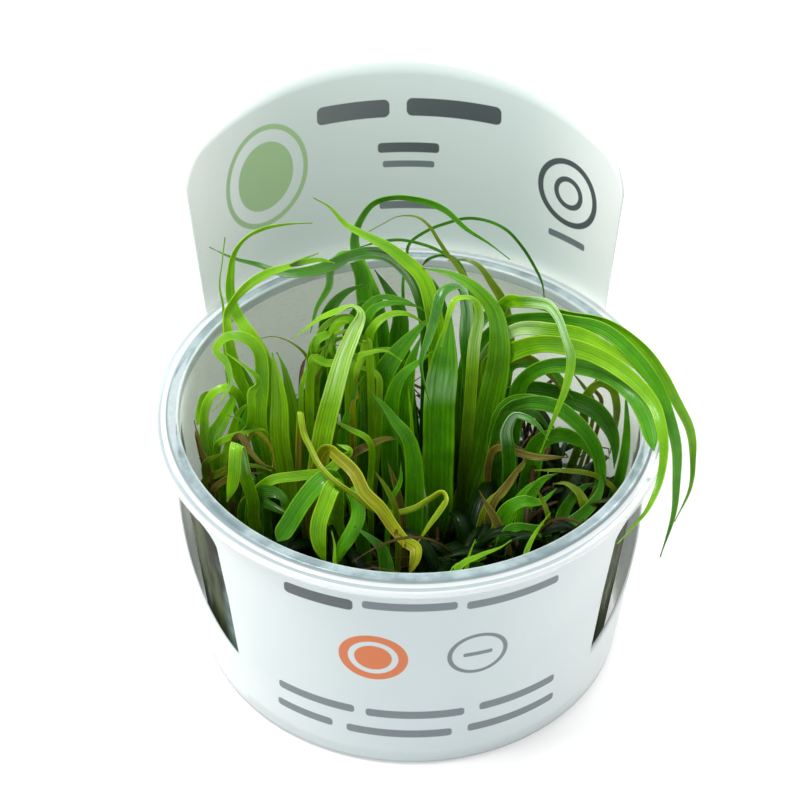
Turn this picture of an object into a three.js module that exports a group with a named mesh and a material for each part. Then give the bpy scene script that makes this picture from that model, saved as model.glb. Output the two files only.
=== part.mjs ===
// A tub of tissue-culture water plant: a clear plastic cup, a printed wrap with a tall back panel,
// a low mat of roots on the cup's floor, and the plant's strap-shaped leaves.
// Millimetres, +Z up. The origin is the centre of the cup's flat underside, and the front faces -Y.
import * as THREE from 'three';

// Driving dimensions of the cup
const RIM_RADIUS = 40;
const RIM_TOP = 44.9;
const RIM_THICKNESS = 1.5;
const BEAD_TOP = 45.5;
const BEAD_OUTER_RADIUS = 38.1;
const MOUTH_RADIUS = 36.2;
const FOOT_RADIUS = 33;
const WALL_TOP_RADIUS = 36.9;
const WALL = 0.8;
const FLOOR = 1.2;
const FOOT_ROUND = 1.2;
const FOOT_BEVEL = 0.35;
const BEAD_BEVEL = 0.3;
const CUP_SIDES = 64;

// Driving dimensions of the wrap, an oblique cone that leans back past the rim
const WRAP_FOOT_RADIUS = 34.4;
const WRAP_RIM_RADIUS = 39.6;
const WRAP_RIM_HEIGHT = 43;
const WRAP_LEAN = 1.4;
const WRAP_SHIFT = 0.4;
const WRAP_TURN = 2.3;
const WRAP_THICKNESS = 0.4;
const WRAP_BOTTOM = 0.5;
const WRAP_FRONT_TOP = 42.9;
const PANEL_TOP = 78.1;
const PANEL_HALF_ANGLE = 55.2;
const PANEL_ARC_RADIUS = 133;
const PANEL_CORNER = 6;
const PANEL_CORNER_ANGLE = 6;
const PANEL_TILT = 0.018;
const WINDOW_FRONT_ANGLE = 50.4;
const WINDOW_BACK_ANGLE = 116;
const WINDOW_LOW = 12.5;
const WINDOW_HIGH = 41;
const WINDOW_RISE_POWER = 1.35;
const WINDOW_CORNER_ANGLE = 6.5;
const WINDOW_CORNER_HEIGHT = 3.5;
const EDGE_STEP = 0.2;

// How many columns of the wrap stand in each stretch of one side
const FRONT_COLUMNS = 8;
const WINDOW_CORNER_COLUMNS = 4;
const WINDOW_COLUMNS = 9;
const PANEL_CORNER_COLUMNS = 5;
const PANEL_COLUMNS = 9;

// Driving dimensions of the root mat
const MAT_RADIUS = 30.5;
const MAT_BOTTOM = 1.5;
const MAT_HEIGHT = 8.9;
const MAT_EDGE_HEIGHT = 5;
const MAT_RINGS = 12;
const MAT_SIDES = 44;
const MAT_FALL_POWER = 7;
const MAT_EDGE_POWER = 4;
const WIDE_LUMPS = { count: 3, height: 0.25, turn: 1 };
const SMALL_LUMPS = { count: 7, height: 0.2, turn: 0 };

// Thickets of low growth that rise from the mat between the leaves
const THICKETS = [
  { x: 9, y: -15.5, height: 13, radius: 8.5 },
  { x: 17.5, y: -14, height: 13, radius: 8 },
  { x: 25, y: -9, height: 11, radius: 6.5 },
  { x: 0, y: -19.5, height: 11, radius: 8 },
  { x: 4, y: -25, height: 8, radius: 6 },
  { x: -13.5, y: -21.5, height: 11, radius: 7 },
  { x: -7, y: -25, height: 8, radius: 6 },
  { x: -21, y: -16, height: 10, radius: 6.5 },
  { x: 27.5, y: 1, height: 8, radius: 4.5 },
  { x: 26, y: 13, height: 8, radius: 5 },
  { x: 20, y: 19, height: 9, radius: 7 },
  { x: 6.5, y: 24, height: 9, radius: 6 },
  { x: -6, y: 21, height: 9, radius: 6.5 },
  { x: -18, y: 18.5, height: 9, radius: 6.5 },
  { x: -26.5, y: 13, height: 8, radius: 5 },
];

// Shared shape of the leaves
const LEAF_THICKNESS = 0.45;
const LEAF_FOLD = 0.14;
const LEAF_TIP_WIDTH = 0.2;
const FOOT_SHARE = 0.5;
const FOOT_RUN = 0.25;
const STATIONS_PER_STEP = 1.5;
const FEWEST_STATIONS = 8;
const MOST_STATIONS = 20;

// A leaf with no turn shows its face to a viewer in front of the cup and above it, this many degrees up
const FACING_ELEVATION = 42;

const FINISHES = {
  clear: { color: '#dfe8ea', roughness: 0.15, metalness: 0 },
  print: { color: '#d4dfe0', roughness: 0.55, metalness: 0 },
  roots: { color: '#3b3a17', roughness: 0.9, metalness: 0 },
  lime: { color: '#7fb60f', roughness: 0.45, metalness: 0 },
  lime_pale: { color: '#9cc83c', roughness: 0.4, metalness: 0 },
  mid: { color: '#4f9410', roughness: 0.45, metalness: 0 },
  dark: { color: '#2a6612', roughness: 0.4, metalness: 0 },
  two_tone: { color: '#3f8a10', roughness: 0.4, metalness: 0 },
  gloss: { color: '#3c8a1c', roughness: 0.25, metalness: 0 },
  olive: { color: '#76880f', roughness: 0.5, metalness: 0 },
  teal: { color: '#4d8a63', roughness: 0.35, metalness: 0 },
  yellow: { color: '#b9a50c', roughness: 0.5, metalness: 0 },
  withered: { color: '#a79a72', roughness: 0.7, metalness: 0 },
};

// Each leaf: its widest place in mm, the share of its run where it starts to narrow to the tip, its
// finish, and its route from foot to tip as [x, y, z, turn], with the blade's turn in degrees, 0 if left out
const LEAVES = [
  { name: 'leaf_left_hook', width: 2.6, taper: 0.25, tone: 'lime', route: [
    [-17, 3.5, 11], [-21.5, 2, 35.5], [-22, 2, 46.5], [-23, 2, 53.5], [-25, 3, 57, 10],
    [-27, 5, 59, 20], [-28, 6.5, 61.5, 20], [-28, 7.5, 65, 20], [-27.5, 9, 68, 60], [-25.5, 10, 70.5, 75],
    [-23, 11.5, 71, 50], [-19.5, 12, 71.5, 20], [-15.5, 13, 71, 20]] },
  { name: 'leaf_left_thread', width: 0.9, taper: 0.2, tone: 'lime', route: [
    [-22, 9, 11], [-28.5, 8, 38.5], [-29.5, 9, 50.5], [-29.5, 10, 56.5], [-30, 11, 60],
    [-29.5, 12, 64], [-29, 13, 68]] },
  { name: 'leaf_left_arch', width: 1.7, taper: 0.75, tone: 'lime_pale', route: [
    [-23, 1, 11], [-25, 3, 41.5], [-27, 3, 48.5], [-28, 2, 54.5, 20], [-28.5, 2.5, 58.5, 50],
    [-28.5, 4, 60.5, 60], [-27, 5, 63, 60], [-24.5, 6, 65, 20], [-22, 7, 66], [-19, 8, 66.5],
    [-17, 9, 67], [-14.5, 10, 67.5]] },
  { name: 'leaf_left_wave', width: 2.2, taper: 0.6, tone: 'lime', route: [
    [-20, -0.5, 11], [-23.5, -2.5, 44], [-23, -1.5, 51.5], [-23.5, -1, 57, 20], [-25.5, -1, 59.5, 40],
    [-28, -2, 60.5, 50], [-29.5, -3, 59, 40], [-28, -4, 57, 30], [-27.5, -5, 54, 40],
    [-28.5, -5, 51.5, 50], [-30.5, -5, 48, 40]] },
  { name: 'leaf_left_curl', width: 1.3, taper: 0.8, tone: 'lime', route: [
    [-25, -1, 11], [-28.5, 0, 33], [-27, -2, 40, 60], [-25, -4, 44.5, 30], [-24.5, -5, 49, 10],
    [-24.5, -5, 52, 20], [-23.5, -5, 54.5, 50], [-25.5, -5, 57.5, 60], [-28.5, -4, 59.5, 60]] },
  { name: 'leaf_left_blade_a', width: 3.1, taper: 0.7, tone: 'mid', route: [
    [-18, -2.5, 11], [-19, -2, 23], [-19.5, -2, 30.5], [-20.5, -2, 39.5], [-20.5, -1, 47],
    [-21, 0, 52], [-21.5, 1, 55]] },
  { name: 'leaf_left_blade_b', width: 2.6, taper: 0.55, tone: 'dark', route: [
    [-15, 1, 11], [-17.5, 1, 22], [-17.5, 1, 30], [-18, 1, 39], [-19, 2, 45.5, 10], [-20, 3, 50.5, 20],
    [-21, 4, 52.5, 30]] },
  { name: 'leaf_left_dark', width: 2.9, taper: 0.7, tone: 'dark', route: [
    [-21.5, 3.5, 11], [-23.5, 4, 31.5], [-25, 4.5, 39.5], [-26, 5, 45.5], [-28, 6, 50, 20]] },
  { name: 'leaf_left_hang', width: 1.5, taper: 0.95, tone: 'lime', route: [
    [-24.5, 5.5, 11], [-27, 3, 32.5], [-26.5, 2, 43, 10], [-28.5, 1, 47.5, 40], [-30.5, 0.5, 47, 40],
    [-32, 0, 44.5, 10], [-32.5, 0, 39.5], [-33, 1, 32]] },
  { name: 'leaf_left_broad', width: 2.6, taper: 0.6, tone: 'mid', route: [
    [-26, 2.5, 11], [-32, 5, 31.5], [-30, 5, 37], [-28.5, 6, 40], [-26.5, 6, 44]] },
  { name: 'leaf_left_fold', width: 2, taper: 0.9, tone: 'lime', route: [
    [-22, -8, 11], [-24.5, -9, 28.5], [-24.5, -10, 34], [-25.5, -11, 40.5], [-26, -11.6, 45.5],
    [-26.3, -12.4, 48.2], [-26.5, -13.6, 48.3], [-26.7, -14.6, 46], [-27, -15, 43], [-28, -15.5, 39]] },
  { name: 'leaf_front_strap', width: 2.9, taper: 0.95, tone: 'mid', route: [
    [-12, -4, 11], [-12, -6, 26], [-11.5, -8, 34.5], [-13, -10, 39, 30], [-16.5, -12, 36],
    [-18.5, -13.5, 33], [-20.5, -15, 30]] },
  { name: 'leaf_front_droop', width: 2.6, taper: 0.85, tone: 'lime', route: [
    [-9, -7.5, 11], [-11.5, -8, 25.5], [-11.5, -10.4, 34.5], [-11.6, -11.4, 38.5], [-12.1, -13, 39.6],
    [-13, -14.5, 37.8], [-14, -16, 35], [-14, -17, 32], [-13, -17.5, 28]] },
  { name: 'leaf_front_loop', width: 2.3, taper: 0.85, tone: 'mid', route: [
    [-6, -9, 11], [-7.5, -7, 22.5], [-8.5, -8.5, 32], [-9.2, -9.6, 36, 10], [-9.2, -11, 37.5, 20],
    [-8.4, -12.8, 36.8, 20], [-8, -14.3, 35, 10], [-9, -15.6, 32.6], [-10.5, -16.5, 30],
    [-11.5, -17, 26.5]] },
  { name: 'leaf_front_stub', width: 1, taper: 0.6, tone: 'withered', route: [
    [-11, -14, 11], [-11, -15, 25.5], [-11.5, -15.5, 29], [-12, -15.5, 32.5]] },
  { name: 'leaf_cross_strap', width: 1.6, taper: 0.9, tone: 'lime', route: [
    [-24, -6, 11], [-26.5, -7, 29, 20], [-24, -9, 35, 30], [-21.5, -9.5, 38, 20], [-17, -8.5, 38],
    [-13, -8, 38.5, 10], [-11, -7, 40, 20], [-9.5, -6.5, 41.5, 40], [-11.5, -6, 42.5, 40]] },
  { name: 'leaf_withered_strap', width: 1, taper: 0.8, tone: 'withered', route: [
    [-26, -4.5, 11], [-28.5, -5, 31], [-27.4, -4.8, 42], [-26.3, -5.8, 43.7], [-25, -7.3, 42.3],
    [-23, -8.5, 40.5], [-21, -8.5, 39.5, 20]] },
  { name: 'leaf_left_thin', width: 0.6, taper: 0.8, tone: 'yellow', route: [
    [-22.5, -5, 11], [-26, -4.5, 31], [-25.2, -4, 41.5], [-24.2, -4, 43.2], [-23, -4.3, 42.4],
    [-21.5, -5, 39.5], [-21.5, -6, 37.5]] },
  { name: 'leaf_fold_over', width: 3.3, taper: 0.45, tone: 'lime_pale', route: [
    [-13, -1, 11], [-15, -4, 28.5], [-14.5, -4, 35], [-13.5, -3, 42.5], [-12, -2, 49.5],
    [-10.5, 0, 55], [-9, 2, 58.5, 10], [-8, 4, 60.5, 50], [-9, 5, 61, 70], [-11.5, 5, 60, 50],
    [-14, 4, 59.5, 50], [-16, 3, 58.5, 60], [-18.5, 3, 56, 50]] },
  { name: 'leaf_long_dying', width: 1, taper: 0.9, tone: 'yellow', route: [
    [-16, -6, 11], [-17.5, -4.5, 34], [-17.2, -4.4, 46], [-17, -5.2, 48.3], [-16.8, -6.4, 47.4],
    [-16.4, -7.4, 45.6, 10], [-15.5, -9, 44.5, 20],
    [-14, -11.5, 43, 20], [-11.5, -14, 42, 40], [-9, -14, 39.5, 40], [-6, -13.5, 36, 30],
    [-3, -12.5, 34, 10], [0.5, -11.5, 34, 10], [3, -11.5, 36, 20], [5, -12.5, 38.5, 60],
    [5.5, -14, 38.5, 40],
    [4.5, -15, 37, 20], [3, -16, 35, 30], [1, -17, 31.5, 40]] },
  { name: 'leaf_yellow', width: 2, taper: 0.9, tone: 'yellow', route: [
    [-14.5, -5.5, 11], [-15.5, -6, 30], [-13, -7, 42.5, 30], [-11, -9.5, 43, 20], [-8.5, -12, 42],
    [-7, -14, 40], [-4.5, -15, 37.5], [-2.5, -16, 34.5, 10], [-0.5, -17.5, 33, 30],
    [1, -18.5, 32.5, 20], [1, -19.5, 31.5, 10],
    [0, -20, 28]] },
  { name: 'leaf_tuft_a', width: 1.8, taper: 0.6, tone: 'lime', route: [
    [-9, 3, 11], [-9.5, 2, 44.5], [-9.5, 3, 54], [-9.5, 4, 59, 40], [-11.5, 4, 59, 60],
    [-13, 3, 56.5, 30], [-13.5, 2, 53, 10]] },
  { name: 'leaf_tuft_b', width: 2.3, taper: 0.5, tone: 'olive', route: [
    [-13, 4.5, 11], [-17, 2, 36], [-16.5, 2, 42], [-15.5, 2.5, 46.5], [-13.5, 3, 51.5]] },
  { name: 'leaf_tuft_c', width: 1.1, taper: 0.7, tone: 'lime_pale', route: [
    [-6.5, 2.5, 11], [-5, 3, 44], [-5.5, 3.8, 48.3, 30], [-9.5, 4.2, 49.6, 50], [-13.5, 2, 52, 50],
    [-15.5, 1.5, 54.5, 50], [-15, 2, 57.5, 30]] },
  { name: 'leaf_olive_arch', width: 1, taper: 0.4, tone: 'olive', route: [
    [-12, 12, 11], [-15, 10, 37], [-16, 9, 45, 10], [-17, 9, 48, 30], [-19.5, 9, 50.5, 50],
    [-22, 10, 50.5, 50], [-24, 10, 50, 50]] },
  { name: 'leaf_back_droop', width: 2.6, taper: 0.6, tone: 'mid', route: [
    [-4.5, 10.5, 11], [-6.5, 12, 46], [-7.5, 14, 55], [-8.5, 15, 60.5, 20], [-10.5, 15, 63, 50],
    [-12.5, 14, 61.5, 40], [-13, 13, 58.5, 30], [-15, 12, 54.5, 40], [-16, 11, 50.5, 40]] },
  { name: 'leaf_dark_back', width: 4.2, taper: 0.5, tone: 'dark', route: [
    [0.5, 11, 11], [-2, 13, 46.5], [-2, 14, 52.5], [-4, 15, 56.5], [-6, 16, 59.5]] },
  { name: 'leaf_high_arch', width: 2.8, taper: 0.2, tone: 'mid', route: [
    [-2.5, 13, 11], [-4.5, 14, 45.5], [-6, 17, 52.5], [-7.5, 19, 55.5, 10], [-9, 21, 58, 40],
    [-9.5, 22, 60.5, 60], [-8.5, 23, 64, 60], [-6.5, 24, 66.5, 60], [-3, 25, 67, 60],
    [1, 25, 66.5, 45], [5, 25, 64.5, 20], [8.5, 24, 61.5, 15], [12, 23, 59.5, 10], [15.5, 22, 57]] },
  { name: 'leaf_olive_back', width: 1.2, taper: 0.3, tone: 'olive', route: [
    [6, 14, 11], [10, 18, 52], [7, 21, 56.5], [5.5, 22, 58], [4, 23, 60], [2.5, 24, 62, 20],
    [0.5, 25, 63, 40], [-2.5, 25, 63, 50], [-4.5, 24, 62.5, 50], [-7, 23, 61.5, 40]] },
  { name: 'leaf_thin_arch', width: 0.5, taper: 0.9, tone: 'teal', route: [
    [3, 16, 11], [-1.5, 20, 52], [-1, 25, 54.5], [-0.5, 27, 56], [2.5, 28, 58], [5.5, 28, 59.5],
    [8.5, 28, 60.5], [12, 28, 60], [15, 27, 59], [17.5, 26, 56.5], [19.5, 25, 53.5], [21, 24, 50.5],
    [21.5, 22.5, 47.5]] },
  { name: 'leaf_teal_back', width: 0.5, taper: 0.9, tone: 'teal', route: [
    [9, 15.5, 11], [9.5, 20, 50], [7.5, 24, 54.5], [4.5, 25, 56], [2, 26, 56.5], [-2, 26, 57.5],
    [-5.5, 26, 57], [-9, 25, 56.5]] },
  { name: 'leaf_dark_sweep', width: 2, taper: 0.7, tone: 'dark', route: [
    [2, 8.5, 11], [2.5, 9, 47], [2, 11, 53.5], [0.5, 13, 58.5, 30], [-1.5, 14, 61.5, 10],
    [-4, 14.5, 63.5], [-7, 14.5, 64], [-10, 14, 63.5], [-13, 13, 62.5, 10], [-16.5, 12, 62, 30],
    [-20, 11, 62.5, 40], [-23.5, 11, 64, 40], [-27.5, 12, 64.5, 45], [-31.5, 13, 66, 40]] },
  { name: 'leaf_tall_point', width: 3.5, taper: 0.3, tone: 'lime', route: [
    [4, 6.5, 11], [4.5, 7, 40], [4, 8, 51], [3, 9, 58.5], [1.5, 10.5, 62.5], [-1.5, 12, 65],
    [-4.5, 13.5, 66.5], [-8, 15, 67.5], [-10.5, 16, 68.5], [-13, 17, 71], [-15.5, 18, 72]] },
  { name: 'leaf_side_point', width: 2.2, taper: 0.4, tone: 'mid', route: [
    [5.5, 10, 11], [6.5, 9, 38.5], [5.5, 10, 49], [5, 11, 56], [3.5, 12, 60], [1, 13, 62.5]] },
  { name: 'leaf_crown_droop', width: 2.3, taper: 0.5, tone: 'gloss', route: [
    [8.5, 5.5, 11], [9.5, 6, 41], [8.5, 6, 54], [8, 5, 62, 20], [6.5, 4, 66, 60], [4.5, 3, 65.5, 30],
    [3.5, 1, 63], [2.5, 0, 59, 10], [1.5, -0.5, 55, 40], [2, -1, 51, 60], [3, -1, 46.5, 60]] },
  { name: 'leaf_crown_pale', width: 2, taper: 0.6, tone: 'lime_pale', route: [
    [8, 2, 11], [8.8, 2.8, 30], [9.3, 3, 44], [9.6, 3, 55.5], [10, 3, 62, 10], [8.5, 2, 65.5, 60],
    [6.5, 1, 66, 40], [5.5, 0, 64], [5, 0, 61, 10], [4.5, 0, 57.5, 20]] },
  { name: 'leaf_keel', width: 5, taper: 0.72, tone: 'mid', route: [
    [3.5, 0.5, 11], [4.5, 1, 19], [4.5, 1.5, 28], [4.5, 2, 36], [4.5, 2.5, 44.5], [5, 3.5, 50.5],
    [5.5, 4.5, 56], [6, 5.5, 59.5]] },
  { name: 'leaf_keel_right', width: 4.4, taper: 0.4, tone: 'two_tone', route: [
    [6.5, 3.5, 11], [8, 4, 16.5], [10, 4, 24.5], [11.5, 4.5, 33], [12.5, 5, 41], [13.5, 5.5, 49],
    [13.5, 6, 55], [12.5, 7, 59, 10], [10, 8, 62, 20], [7.5, 9, 63.5, 10], [5, 10, 64], [1.5, 11, 64]] },
  { name: 'leaf_blur_back', width: 2.2, taper: 0.5, tone: 'olive', route: [
    [12, 13, 11], [15.5, 14, 45], [14.5, 15, 53.5], [12.5, 16, 57], [10.5, 17, 59.5, 10],
    [8.5, 18, 60, 20], [5.5, 19, 59, 20]] },
  { name: 'leaf_diagonal', width: 4.2, taper: 0.6, tone: 'mid', route: [
    [-4, 5.5, 11], [-6.5, 5, 40], [-5, 5.5, 45.5], [-2.5, 6.5, 50], [0.5, 8, 53.5], [3, 9, 56]] },
  { name: 'leaf_inner_blade', width: 3.4, taper: 0.6, tone: 'mid', route: [
    [-0.5, 3, 11], [-1.5, 3, 37.5], [-1, 3, 45], [0, 3.5, 51.5], [1.5, 4.5, 56]] },
  { name: 'leaf_dark_tongue', width: 3.4, taper: 0.4, tone: 'dark', route: [
    [-0.5, -1.5, 11], [1, -1.5, 30.5], [0, -1, 37], [-2, -1, 41.5], [-4, -1, 45], [-6.5, -0.5, 48.5]] },
  { name: 'leaf_gloss_tongue', width: 3, taper: 0.6, tone: 'gloss', route: [
    [0, -5, 11], [1.5, -5, 25], [1, -5, 32], [0.5, -4.5, 36.5], [-0.5, -4, 40.5]] },
  { name: 'leaf_slender', width: 0.6, taper: 0.7, tone: 'lime', route: [
    [4, -3.5, 11], [1.5, -3.5, 32.5], [0.5, -3.5, 40], [0, -3.5, 46.5], [-0.5, -3, 52]] },
  { name: 'leaf_small_arch', width: 1.7, taper: 0.6, tone: 'lime', route: [
    [-1, 7, 11], [-1, 7, 40], [-1.5, 8, 46.5], [-3, 8, 49.5, 30], [-6, 8, 49.5, 40], [-8.5, 7, 49, 40],
    [-10, 6, 48, 40]] },
  { name: 'leaf_right_outer', width: 1.7, taper: 0.7, tone: 'lime', route: [
    [8, 11, 11], [8, 10.5, 41], [10, 11, 51.5, 20], [13.5, 10, 57.5, 45], [18, 9, 59, 45],
    [23.5, 8, 58, 50], [30, 6, 58, 60], [35.5, 4, 55, 50], [39, 2.5, 50.5, 30], [41.5, 1.5, 45.5],
    [44, 0.5, 40.5], [45, 0, 35, 50], [45, -0.5, 28.5, 55], [43, -1, 21.5, 30]] },
  { name: 'leaf_right_over_rim', width: 2.2, taper: 0.6, tone: 'mid', route: [
    [10.5, 9, 11], [9, 8, 41.5], [10.5, 8, 51, 20], [14.5, 8, 56, 40], [20, 7, 58, 40],
    [24.5, 6, 58, 40], [29.5, 3.5, 58.5, 30], [34, 0, 56.5, 20], [37.5, -3, 53, 10], [39.5, -5.5, 49],
    [41, -7, 44], [41.5, -8, 37.5], [41.5, -9, 31, 10], [40, -10, 22.5, 20]] },
  { name: 'leaf_right_inner_rim', width: 3.2, taper: 0.3, tone: 'lime', route: [
    [12, 4.5, 11], [13.5, 6, 40.5], [12.5, 6.4, 48.5, 10], [15.5, 6, 51.5, 15], [20.5, 3.5, 55.5, 20],
    [26, 1, 56.5, 20], [30.5, -1, 55.5, 10], [34.5, -4, 54, 10], [37, -7, 52.5, 10], [38, -10, 51, 20],
    [38.5, -12.5, 48.5, 35], [38, -15.5, 45, 40], [36, -19.5, 42.5, 40], [33.5, -23, 42, 30],
    [31, -26.5, 42, 20]] },
  { name: 'leaf_right_pale', width: 2.3, taper: 0.7, tone: 'lime_pale', route: [
    [11.5, 7, 11], [10.5, 7, 43.5], [12.5, 7, 51.5, 20], [16.5, 6.5, 56, 40], [21.5, 5, 57, 20],
    [26, 4, 57, 10], [30, 1.5, 56.5, 10], [34, 0, 54.5], [37.5, -3, 51.5]] },
  { name: 'leaf_right_lower', width: 2.6, taper: 0.95, tone: 'mid', route: [
    [16, 5, 11], [16.5, 5.5, 38], [17.5, 4.5, 47, 20], [21.5, 3.5, 51, 30], [27, 2, 52, 20],
    [31, -1, 52.5, 10], [34, -4.5, 52], [36, -8, 50], [37, -12, 47.5]] },
  { name: 'leaf_right_under', width: 3, taper: 0.75, tone: 'dark', route: [
    [15, 8.5, 11], [13, 8, 33], [15, 8, 40, 20], [19.5, 8, 42, 30], [24.5, 8, 40.5, 20],
    [29.5, 7, 38.5, 10], [32, 6, 35.5, 10], [33, 5, 32.5, 20], [33, 4, 28.5, 30]] },
  { name: 'leaf_right_curve', width: 2.4, taper: 0.5, tone: 'teal', route: [
    [13.2, 2.6, 11], [13.4, 2.6, 30], [14, 2.6, 37], [15.5, 2, 43, 20], [18.5, 1, 45.5, 30],
    [22.5, 0, 45.5, 10], [26, -1, 43], [28.5, -2, 40], [30, -3, 36, 20], [30, -4.5, 32.5, 30],
    [28.5, -6, 29.5, 20], [25, -7, 27, 30], [20.5, -7, 25, 40], [16, -6, 24, 40]] },
  { name: 'leaf_right_hang', width: 2, taper: 0.6, tone: 'lime', route: [
    [10.8, 12.6, 11], [11.3, 12.4, 38], [13.2, 11, 49], [13.5, 9, 57, 10], [14.8, 6.2, 61.8, 30],
    [16.5, 3.5, 64, 40], [18.5, 1, 66, 40], [20.5, -1, 67, 40], [22, -2.8, 66, 45], [23, -4.5, 64, 50],
    [24, -5.5, 60.5, 20], [23.5, -6.5, 56], [22, -7.5, 50.5, 10], [20, -8.5, 43.5, 20]] },
  { name: 'leaf_right_olive', width: 1.8, taper: 0.6, tone: 'olive', route: [
    [13.5, 11, 11], [13, 9, 38.5], [15, 9, 46.5, 20], [18.5, 8.5, 48, 30], [21.5, 8, 45.5, 10],
    [25, 7, 41]] },
  { name: 'leaf_right_gloss', width: 2.2, taper: 0.6, tone: 'gloss', route: [
    [16.5, -1.5, 11], [15.6, -1.5, 36], [15, -1.5, 42, 15], [16.5, -2, 45.5, 40], [19.5, -3, 44.5, 10],
    [21.5, -4, 42]] },
  { name: 'leaf_right_low', width: 3.2, taper: 0.6, tone: 'mid', route: [
    [18, 1, 11], [19.5, 3, 29], [20.5, 4, 34, 20], [24, 4, 36, 30], [27.5, 4, 34, 20],
    [30, 3, 30.5, 20]] },
  { name: 'leaf_right_wall', width: 1.4, taper: 0.7, tone: 'olive', route: [
    [23, 8, 11], [28, 9, 32], [28, 9, 39.5], [30, 9.5, 42, 40], [32, 9, 41.5, 30], [33, 8.5, 38.5, 10],
    [33, 8, 33], [32.5, 7.5, 28.5]] },
];

const radians = THREE.MathUtils.degToRad;
const blend = THREE.MathUtils.lerp;

const elevation = radians(FACING_ELEVATION);
const facing = new THREE.Vector3(0, -Math.cos(elevation), Math.sin(elevation));

function closedMesh(name, finish, positions, indices) {
  const geometry = new THREE.BufferGeometry();
  geometry.setAttribute('position', new THREE.Float32BufferAttribute(positions, 3));
  geometry.setIndex(indices);
  geometry.computeVertexNormals();
  return namedMesh(name, finish, geometry);
}

function namedMesh(name, finish, geometry) {
  const mesh = new THREE.Mesh(geometry, new THREE.MeshStandardMaterial(FINISHES[finish]));
  mesh.name = name;
  return mesh;
}

// The cup is turned on a lathe from a profile that starts and ends on the axis
function makeCup() {
  const footCorner = FOOT_RADIUS - FOOT_ROUND;
  const rimUnderside = RIM_TOP - RIM_THICKNESS;
  const innerFoot = FOOT_RADIUS - WALL;
  const profile = [
    [0, 0],
    [footCorner, 0],
    [FOOT_RADIUS - FOOT_BEVEL, FOOT_BEVEL],
    [FOOT_RADIUS, FOOT_ROUND],
    [WALL_TOP_RADIUS, rimUnderside],
    [RIM_RADIUS, rimUnderside],
    [RIM_RADIUS, RIM_TOP],
    [BEAD_OUTER_RADIUS, RIM_TOP],
    [BEAD_OUTER_RADIUS - BEAD_BEVEL, BEAD_TOP],
    [MOUTH_RADIUS + BEAD_BEVEL, BEAD_TOP],
    [MOUTH_RADIUS, BEAD_TOP - BEAD_BEVEL],
    [WALL_TOP_RADIUS - WALL, rimUnderside],
    [innerFoot, FLOOR + FOOT_ROUND],
    [innerFoot - FOOT_ROUND, FLOOR],
    [0, FLOOR],
  ];
  const points = profile.map(([radius, height]) => new THREE.Vector2(radius, height));
  const geometry = new THREE.LatheGeometry(points, CUP_SIDES);
  geometry.rotateX(Math.PI / 2);
  return namedMesh('cup', 'clear', geometry);
}

// A point of the wrap, with its angle in degrees from the wrap's own front
function wrapPoint(angle, height, inset) {
  const rise = height / WRAP_RIM_HEIGHT;
  const radius = blend(WRAP_FOOT_RADIUS, WRAP_RIM_RADIUS, rise) - inset;
  const turn = radians(angle + WRAP_TURN);
  const x = WRAP_SHIFT * (1 - rise) + radius * Math.sin(turn);
  const y = WRAP_LEAN * rise - radius * Math.cos(turn);
  return [x, y, height];
}

// The back panel's top edge: a wide arc that ends in rounded corners and tilts a little
function panelTop(angle) {
  const fromBack = 180 - Math.abs(angle);
  const panelRadius = blend(WRAP_FOOT_RADIUS, WRAP_RIM_RADIUS, PANEL_TOP / WRAP_RIM_HEIGHT);
  const across = panelRadius * radians(fromBack);
  const cornerStart = panelRadius * radians(PANEL_HALF_ANGLE) - PANEL_CORNER;
  const into = THREE.MathUtils.clamp((across - cornerStart) / PANEL_CORNER, 0, 1);
  const arcDrop = PANEL_ARC_RADIUS - Math.sqrt(PANEL_ARC_RADIUS ** 2 - across ** 2);
  const cornerDrop = PANEL_CORNER * (1 - Math.sqrt(1 - into ** 2));
  const tilt = -Math.sign(angle) * PANEL_TILT * fromBack;
  return PANEL_TOP - arcDrop - cornerDrop + tilt;
}

// Heights of the wrap's edges at an angle: bottom, window's lower edge, window's upper edge, top.
// Where there is no window its two edges meet
function wrapEdges(angle) {
  const aside = Math.abs(angle);
  const panelStart = 180 - PANEL_HALF_ANGLE;
  const top = aside > panelStart ? panelTop(angle) : WRAP_FRONT_TOP;
  if (aside < WINDOW_FRONT_ANGLE || aside >= WINDOW_BACK_ANGLE) {
    const seam = aside < WINDOW_FRONT_ANGLE ? (WINDOW_LOW + WINDOW_HIGH) / 2 : WINDOW_HIGH;
    return [WRAP_BOTTOM, seam, seam, top];
  }
  const along = (aside - WINDOW_FRONT_ANGLE) / (WINDOW_BACK_ANGLE - WINDOW_FRONT_ANGLE);
  const low = blend(WINDOW_LOW, WINDOW_HIGH, along ** WINDOW_RISE_POWER);
  const corner = THREE.MathUtils.clamp((aside - WINDOW_FRONT_ANGLE) / WINDOW_CORNER_ANGLE, 0, 1);
  const high = WINDOW_HIGH - WINDOW_CORNER_HEIGHT * (1 - Math.sqrt(1 - (1 - corner) ** 2));
  return [WRAP_BOTTOM, low, high, top];
}

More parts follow.
